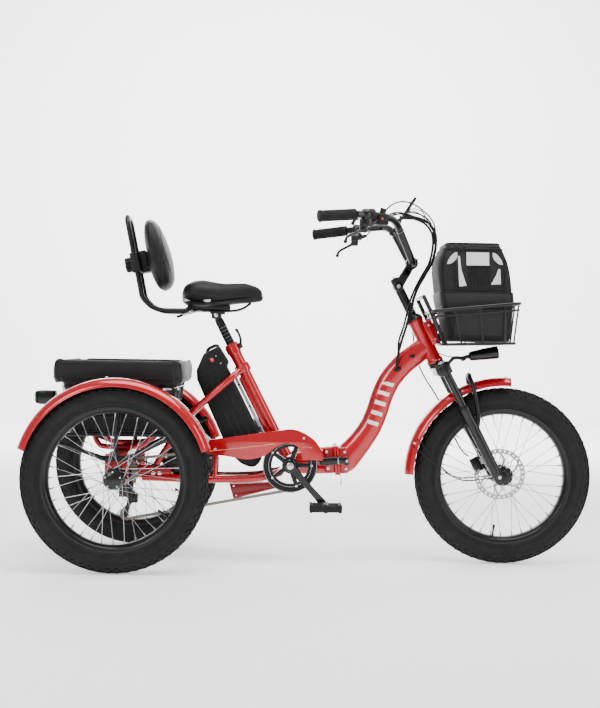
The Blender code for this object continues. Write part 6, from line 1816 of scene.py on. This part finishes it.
# ---- cables -----------------------------------------------------------------------------------
LOOM = [(0.245, -0.076, 1.056), (0.275, -0.06, 1.07), (0.315, -0.048, 1.068),
        (0.35, -0.035, 1.052), (0.37, -0.024, 1.022), (0.372, -0.019, 0.98),
        (0.36, -0.02, 0.93), (0.334, -0.027, 0.885), (0.312, -0.032, 0.84),
        (0.298, -0.035, 0.795), (0.285, -0.038, 0.74), (0.27, -0.038, 0.69),
        (0.26, -0.036, 0.65), (0.256, -0.03, 0.61)]
HOSE = [(0.36, -0.02, 0.93), (0.342, 0.005, 0.89), (0.316, 0.032, 0.835),
        (0.308, 0.04, 0.76), (0.315, 0.042, 0.69), (0.325, 0.044, 0.63),
        (0.356, 0.06, 0.57), (0.39, 0.072, 0.52), (0.42, 0.074, 0.46),
        (0.445, 0.07, 0.4), (0.472, 0.056, 0.348), (0.493, 0.044, 0.328)]


def wrapped(points, radius, pitch):
    """A spiral sleeve wound round a bundle of leads."""
    path = smooth_path(points, 24)
    coil, run = [], 0.0
    for here, there in zip(path, path[1:]):
        along = (there - here).normalized()
        side = along.cross(ACROSS if abs(along.y) < 0.8 else UP).normalized()
        other = along.cross(side)
        a = 2 * math.pi * run / pitch
        coil.append(here + (side * math.cos(a) + other * math.sin(a)) * radius)
        run += (there - here).length
    return coil


def make_cables():
    upper, lower = LOOM[:8], LOOM[6:]
    core = join(pipe(upper, 0.0042, 4, per_span=8),
                pipe([(x - 0.009, y + 0.004, z - 0.003) for x, y, z in upper[1:]], 0.0036, 4,
                     per_span=8))
    sleeve = pipe(wrapped(upper[1:], 0.0046, 0.0075), 0.0011, 1, smooth=False)
    leads = []
    for start, y in (((0.188, -0.185, 1.044), 0.0), ((0.16, -0.225, 1.03), 0.004)):
        leads.append(pipe([start, (start[0] + 0.03, start[1] + 0.03, start[2] + 0.022),
                           (0.235, -0.11, 1.074 + y), (0.275, -0.064, 1.076 + y), LOOM[2]],
                          0.0022, 3, per_span=8))
    leads.append(pipe([(0.172, 0.229, 1.036), (0.212, 0.19, 1.08), (0.27, 0.11, 1.098),
                       (0.32, 0.03, 1.09), (0.356, -0.018, 1.056), LOOM[5]], 0.0024, 3,
                      per_span=8))
    leads.append(pipe([(0.17, -0.229, 1.036), (0.224, -0.17, 1.096), (0.28, -0.09, 1.112),
                       (0.33, -0.05, 1.09), (0.366, -0.028, 1.05), LOOM[5]], 0.0024, 3,
                      per_span=8))
    leads.append(pipe([(0.286, 0.046, 1.096), (0.304, 0.03, 1.098), (0.326, -0.004, 1.084),
                       (0.342, -0.03, 1.06), LOOM[4]], 0.0017, 3, per_span=8))
    leads.append(pipe([(0.284, 0.038, 1.09), (0.3, 0.02, 1.104), (0.33, -0.01, 1.092),
                       (0.35, -0.032, 1.05), LOOM[4]], 0.0017, 3, per_span=8))
    fit(join(core, sleeve, *leads), "bar_cable_bundle", CABLE, "handlebar",
        ["cable_loom"], 60.0)
    bundle = [pipe(lower, 0.004, 4, per_span=8),
              pipe([(x - 0.009, y + 0.004, z - 0.003) for x, y, z in lower[:-2]] + [lower[-2]], 0.0034,
                   4, per_span=8),
              pipe(wrapped(lower, 0.0046, 0.008), 0.0011, 1, smooth=False)]
    down = join(*bundle)
    dress(down, "frame_cable_bundle", CABLE, 60.0)
    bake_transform(down)
    hose_top, hose_low = HOSE[:6], HOSE[4:]
    upper_hose = pipe(hose_top, 0.0025, 4, per_span=8)
    fit(upper_hose, "brake_hose_upper", CABLE, "steering", angle=60.0)
    lower_hose = pipe(hose_low, 0.0025, 4, per_span=8)
    dress(lower_hose, "brake_hose_lower", CABLE, 60.0)
    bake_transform(lower_hose)


# ---- front basket and carrier -----------------------------------------------------------------
def rail_ring(x0, x1, half_y, z_back, z_front, corner=0.026, steps=5):
    points = wall_ring(Vector((x0, -half_y, 0.0)), Vector((x1, half_y, 0.0)), 0.0, 0.0, corner, steps)
    return [Vector((p.x, p.y, z_back + (z_front - z_back) * (p.x - x0) / (x1 - x0))) for p in points]


def walk_along(points, count):
    """Evenly spaced places round a closed line."""
    lengths = [(points[(i + 1) % len(points)] - p).length for i, p in enumerate(points)]
    out = []
    for k in range(count):
        target, i = sum(lengths) * k / count, 0
        while target > lengths[i]:
            target -= lengths[i]
            i += 1
        out.append(points[i].lerp(points[(i + 1) % len(points)], target / lengths[i]))
    return out


def make_front_basket():
    top = rail_ring(0.356, 0.619, 0.148, 0.779, 0.806)
    low = rail_ring(0.39, 0.608, 0.13, 0.679, 0.685, 0.022)
    wires = [pipe(top, 0.0055, 4, closed=True, smooth=False), pipe(low, 0.0042, 4, closed=True,
                                                                   smooth=False)]
    second = [a.lerp(b, 0.84) for a, b in zip(low, top)]
    wires.append(pipe(second, 0.0034, 4, closed=True, smooth=False))
    for foot, head in zip(walk_along(low, 14), walk_along(top, 14)):
        wires.append(cylinder(foot, head, 0.0028, sides=14))
    for i in range(8):
        y = -0.115 + i * 0.23 / 7
        wires.append(cylinder((0.39, y, 0.679), (0.608, y, 0.685), 0.0015, sides=8))
    for x in (0.45, 0.5, 0.55):
        z = 0.679 + 0.006 * (x - 0.39) / 0.218
        wires.append(cylinder((x, -0.13, z), (x, 0.13, z), 0.0015, sides=8))
    for y in (-0.1, 0.1):
        wires.append(pipe([(0.4, y, 0.678), (0.38, y, 0.72), (0.33, y, 0.824)], 0.0064, 5))
    wires.append(cylinder((0.33, -0.1, 0.824), (0.33, 0.1, 0.824), 0.006, sides=24))
    fit(join(*wires), "front_basket_wires", BLACK_PAINT, "front_frame",
        ["front_basket"])
    plates = [block((0.0058, 0.214, 0.029), steer(s, 0.0475), STEER_FORE, STEER_UP, 0.0016)
              for s in (0.098, 0.062)]
    fit(join(*plates), "front_basket_bracket", BLACK_PAINT, "front_frame")
    screws = [screw_head(steer(s, 0.0505, y), STEER_FORE, 0.0042, 0.003)
              for s in (0.098, 0.062) for y in (-0.085, -0.02, 0.02, 0.085)]
    fit(join(*screws), "front_basket_screws", SILVER, "front_frame")


CARRIER = [(0.687, 0.409, 0.5975, 0.1105), (0.72, 0.405, 0.601, 0.115),
           (0.77, 0.392, 0.603, 0.121), (0.81, 0.385, 0.603, 0.124),
           (0.86, 0.376, 0.599, 0.125), (0.9, 0.371, 0.593, 0.124),
           (0.93, 0.372, 0.586, 0.1215), (0.955, 0.378, 0.577, 0.117),
           (0.974, 0.39, 0.568, 0.11)]


def carrier_at(z):
    """The carrier's rear x, fore x and half width at a height."""
    for low, high in zip(CARRIER, CARRIER[1:]):
        if z <= high[0]:
            t = max(0.0, (z - low[0]) / (high[0] - low[0]))
            return [a + (b - a) * t for a, b in zip(low[1:], high[1:])]
    return CARRIER[-1][1:]


def carrier_ring(z, lift=0.0, corner=0.03, steps=6):
    x0, x1, half = carrier_at(z)
    return wall_ring(Vector((x0 - lift, -half - lift, 0.0)), Vector((x1 + lift, half + lift, 0.0)), 0.0,
                     z, corner + lift, steps)


def side_patch(x0, x1, z0, z1, lift, side, steps=8):
    """A patch lying on the carrier's side wall."""
    verts, faces = [], []
    for k in range(steps + 1):
        z = z0 + (z1 - z0) * k / steps
        half = carrier_at(z)[2] + lift
        for i in range(steps + 1):
            x = x0 + (x1 - x0) * i / steps
            verts.append((x, side * half, z))
    for k in range(steps):
        for i in range(steps):
            a = k * (steps + 1) + i
            quad = (a, a + 1, a + steps + 2, a + steps + 1)
            faces.append(quad if side < 0 else quad[::-1])
    obj = from_points("patch", verts, [], faces)
    return apply_modifier(obj, "SOLIDIFY", thickness=0.0012, offset=1.0)


def wall_patch(outline, lift, side):
    """A flat-sided patch with any outline lying on the carrier's side wall."""
    verts = [(x, side * (carrier_at(z)[2] + lift), z) for x, z in outline]
    obj = from_points("wall_patch", verts, [], [list(range(len(verts)))])
    return clean(apply_modifier(obj, "SOLIDIFY", thickness=0.0014, offset=0.0))


def make_carrier():
    """A stiffened open-topped fabric carrier with net windows, bound edges and a waist band."""
    rings = []
    heights = [0.687 + (0.974 - 0.687) * i / CARRIER_STEPS for i in range(CARRIER_STEPS + 1)]
    for k, z in enumerate(heights):
        one = carrier_ring(z)
        x0, x1, half = carrier_at(z)
        centre_x = (x0 + x1) / 2
        sag = math.sin(math.pi * k / CARRIER_STEPS)
        ring_now = []
        for i, p in enumerate(one):
            out = Vector((p.x - centre_x, p.y, 0.0)).normalized()
            ripple = 0.0012 * math.sin(i * 0.9 + k * 0.45) + 0.0009 * math.sin(i * 0.33 - k * 0.8)
            ring_now.append(p + out * (ripple * sag - 0.0012))
        rings.append(ring_now)
    wall_top = rings[-1]
    middle = Vector(((CARRIER[-1][1] + CARRIER[-1][2]) / 2, 0.0, 0.0))
    for lift_z, shrink in ((0.983, 0.97), (0.988, 0.925)):
        rings.append([Vector((middle.x + (p.x - middle.x) * shrink, p.y * shrink, lift_z))
                      for p in wall_top])
    shell = loft(rings)
    apply_modifier(shell, "SUBSURF", levels=1, render_levels=1)
    apply_modifier(shell, "SOLIDIFY", thickness=0.0022, offset=-1.0)
    fit(shell, "carrier_body", BAG, "front_frame", ["pet_carrier"], 60.0)
    fit(block((0.168, 0.196, 0.0105), (0.503, 0.0, 0.6948), edge=0.003), "carrier_floor_board",
        BAG_SMOOTH, "front_frame")
    piping = [pipe(carrier_ring(z, lift), 0.0021, 3, closed=True, smooth=False)
              for z, lift in ((0.692, 0.0006), (0.793, 0.0012), (0.838, 0.0012), (0.9715, 0.0006))]
    piping.append(pipe(rings[-1], 0.0028, 4, closed=True, smooth=False))
    for side in (1.0, -1.0):
        for x in (0.0, 1.0):
            edge = []
            for k in range(20):
                z = 0.7 + 0.27 * k / 19
                x0, x1, half = carrier_at(z)
                edge.append((x0 + 0.008 if x == 0.0 else x1 - 0.008, side * (half - 0.005), z))
            piping.append(pipe(edge, 0.0017, 3, smooth=False))
    fit(join(*piping), "carrier_piping", PIPING, "front_frame")
    band_rings = [carrier_ring(z, lift) for z, lift in (
        (0.794, 0.0004), (0.796, 0.002), (0.8155, 0.0026), (0.835, 0.002), (0.837, 0.0004))]
    band = loft(band_rings, False)
    apply_modifier(band, "SOLIDIFY", thickness=0.001, offset=0.0)
    fit(band, "carrier_waist_band", BAG_SMOOTH, "front_frame", angle=60.0)
    windows, frames, patches, panels = [], [], [], []
    for side in (1.0, -1.0):
        windows.append(wall_patch([(0.4556, 0.92), (0.524, 0.92), (0.524, 0.96),
                                   (0.4556, 0.96)], 0.001, side))
        windows.append(wall_patch([(0.429, 0.948), (0.435, 0.948), (0.44, 0.905),
                                   (0.456, 0.858), (0.434, 0.855)], 0.001, side))
        windows.append(wall_patch([(0.5575, 0.91), (0.552, 0.91), (0.545, 0.89),
                                   (0.53, 0.862), (0.56, 0.864)], 0.001, side))
        corner = [(0.396, 0.923), (0.4, 0.936), (0.408, 0.948), (0.419, 0.958),
                  (0.427, 0.96), (0.4275, 0.949), (0.423, 0.937), (0.414, 0.928),
                  (0.405, 0.9235)]
        patches.append(wall_patch(corner, 0.0012, side))
        patches.append(wall_patch([(0.962 - x, z) for x, z in corner], 0.0012, side))
        edge = [(0.429, 0.964), (0.421, 0.905), (0.425, 0.856), (0.436, 0.847),
                (0.56, 0.847), (0.57, 0.856), (0.572, 0.905), (0.556, 0.964)]
        frames.append(pipe([(x, side * (carrier_at(z)[2] + 0.0012), z) for x, z in edge], 0.0016, 3,
                           closed=True, per_span=5))
        for x in (0.464, 0.474, 0.484, 0.494, 0.504, 0.514, 0.524):
            frames.append(pipe([(x, side * (carrier_at(z)[2] + 0.0008), z)
                                for z in (0.916, 0.9, 0.88, 0.858)], 0.0018, 3))
        panels.append(side_patch(0.425, 0.568, 0.708, 0.788, 0.0008, side))
    fit(join(*windows), "carrier_net_windows", MESH_WHITE, "front_frame", angle=60.0)
    fit(join(*patches), "carrier_reflective_patches", REFLECT, "front_frame", angle=60.0)
    fit(join(*frames), "carrier_window_piping", PIPING, "front_frame", angle=60.0)
    fit(join(*panels), "carrier_side_panels", BAG_SMOOTH, "front_frame", angle=60.0)
    zip_line = [Vector((p.x, p.y, 0.9765)) for p in carrier_ring(0.9735, -0.004)]
    teeth = pipe(zip_line, 0.0016, 2, closed=True, smooth=False)
    pull = block((0.006, 0.0022, 0.022), (0.45, -0.109, 0.966), edge=0.0007)
    fit(join(teeth, pull), "carrier_zip", GLOSS_BLACK, "front_frame")


# ---- floor, light and camera ------------------------------------------------------------------
CAMERA_AT = (-0.1035, -4.26, 0.639)
CAMERA_ROLL = -0.0155
LENS_MM, SENSOR_MM = 69.3, 36.0
SHIFT_X, SHIFT_Y = 0.0268, 0.0014


def make_stage():
    bpy.ops.mesh.primitive_plane_add(size=30.0)
    floor = bpy.context.object
    floor.name = "pale_floor"
    material = bpy.data.materials.new("pale_floor_paint")
    material.use_nodes = True
    tree = material.node_tree
    shader = next(n for n in tree.nodes if n.type == "BSDF_PRINCIPLED")
    set_inputs(shader, {"Base Color": (0.93, 0.93, 0.93, 1.0), "Roughness": 0.8,
                        "Emission Color": (1.0, 1.0, 1.0, 1.0), "Emission Strength": 0.55})
    floor.data.materials.append(material)
    bpy.ops.mesh.primitive_plane_add(size=30.0, location=(0.0, 9.0, 0.0), rotation=(math.pi / 2, 0, 0))
    wall = bpy.context.object
    wall.name = "pale_backdrop"
    wall.data.materials.append(material)
    world = bpy.data.worlds.new("pale_surround")
    world.use_nodes = True
    bpy.context.scene.world = world
    background = next(n for n in world.node_tree.nodes if n.type == "BACKGROUND")
    set_inputs(background, {"Color": (0.95, 0.96, 0.98, 1.0), "Strength": 0.55})


def make_light(name, spot, aim, size, power, tint=(1.0, 1.0, 1.0)):
    data = bpy.data.lights.new(name, "AREA")
    data.shape = "RECTANGLE"
    data.size, data.size_y = size
    data.energy = power
    data.color = tint
    lamp = bpy.data.objects.new(name, data)
    bpy.context.scene.collection.objects.link(lamp)
    lamp.location = spot
    lamp.rotation_euler = (Vector(aim) - Vector(spot)).to_track_quat("-Z", "Y").to_euler()


def make_lights_and_camera():
    make_light("soft_overhead", (0.2, -0.6, 3.2), (0.0, 0.0, 0.5), (3.0, 1.6), 120.0)
    make_light("broad_front", (-2.2, -3.2, 2.2), (0.0, 0.0, 0.5), (1.4, 1.4), 60.0, (1.0, 0.98, 0.96))
    make_light("cool_side", (3.0, -1.6, 1.6), (0.2, 0.0, 0.5), (0.9, 2.0), 40.0, (0.95, 0.97, 1.0))
    make_light("rim_behind", (-1.2, 2.6, 2.4), (0.0, 0.0, 0.6), (2.4, 0.8), 60.0)
    make_light("backdrop_wash", (0.0, 4.5, 4.0), (0.0, 9.0, 0.8), (7.0, 2.0), 1100.0)
    data = bpy.data.cameras.new("camera")
    camera = bpy.data.objects.new("camera", data)
    bpy.context.scene.collection.objects.link(camera)
    camera.location = CAMERA_AT
    camera.rotation_euler = (math.pi / 2, CAMERA_ROLL, 0.0)
    data.sensor_fit = "VERTICAL"
    data.sensor_height = SENSOR_MM
    data.lens = LENS_MM
    data.shift_x, data.shift_y = SHIFT_X, SHIFT_Y
    bpy.context.scene.camera = camera


# ---- build ------------------------------------------------------------------------------------
make_front_wheel()
make_rear_wheels()
make_rear_guards()
make_front_guard()
make_front_half()
make_latch()
make_main_beam()
make_seat_tube()
make_seat_stays()
make_rear_frame()
make_rack()
make_saddle()
make_seat_post()
make_seat_levers()
make_backrest()
make_rear_basket()
make_tail_light()
make_crankset()
make_pedals()
make_chain()
make_cassette()
make_derailleur()
make_chain_guard()
make_motor_and_boxes()
make_battery()
make_fork()
make_headlight()
make_stem()
make_handlebar()
make_controls()
make_cables()
make_front_basket()
make_carrier()
make_stage()
make_lights_and_camera()
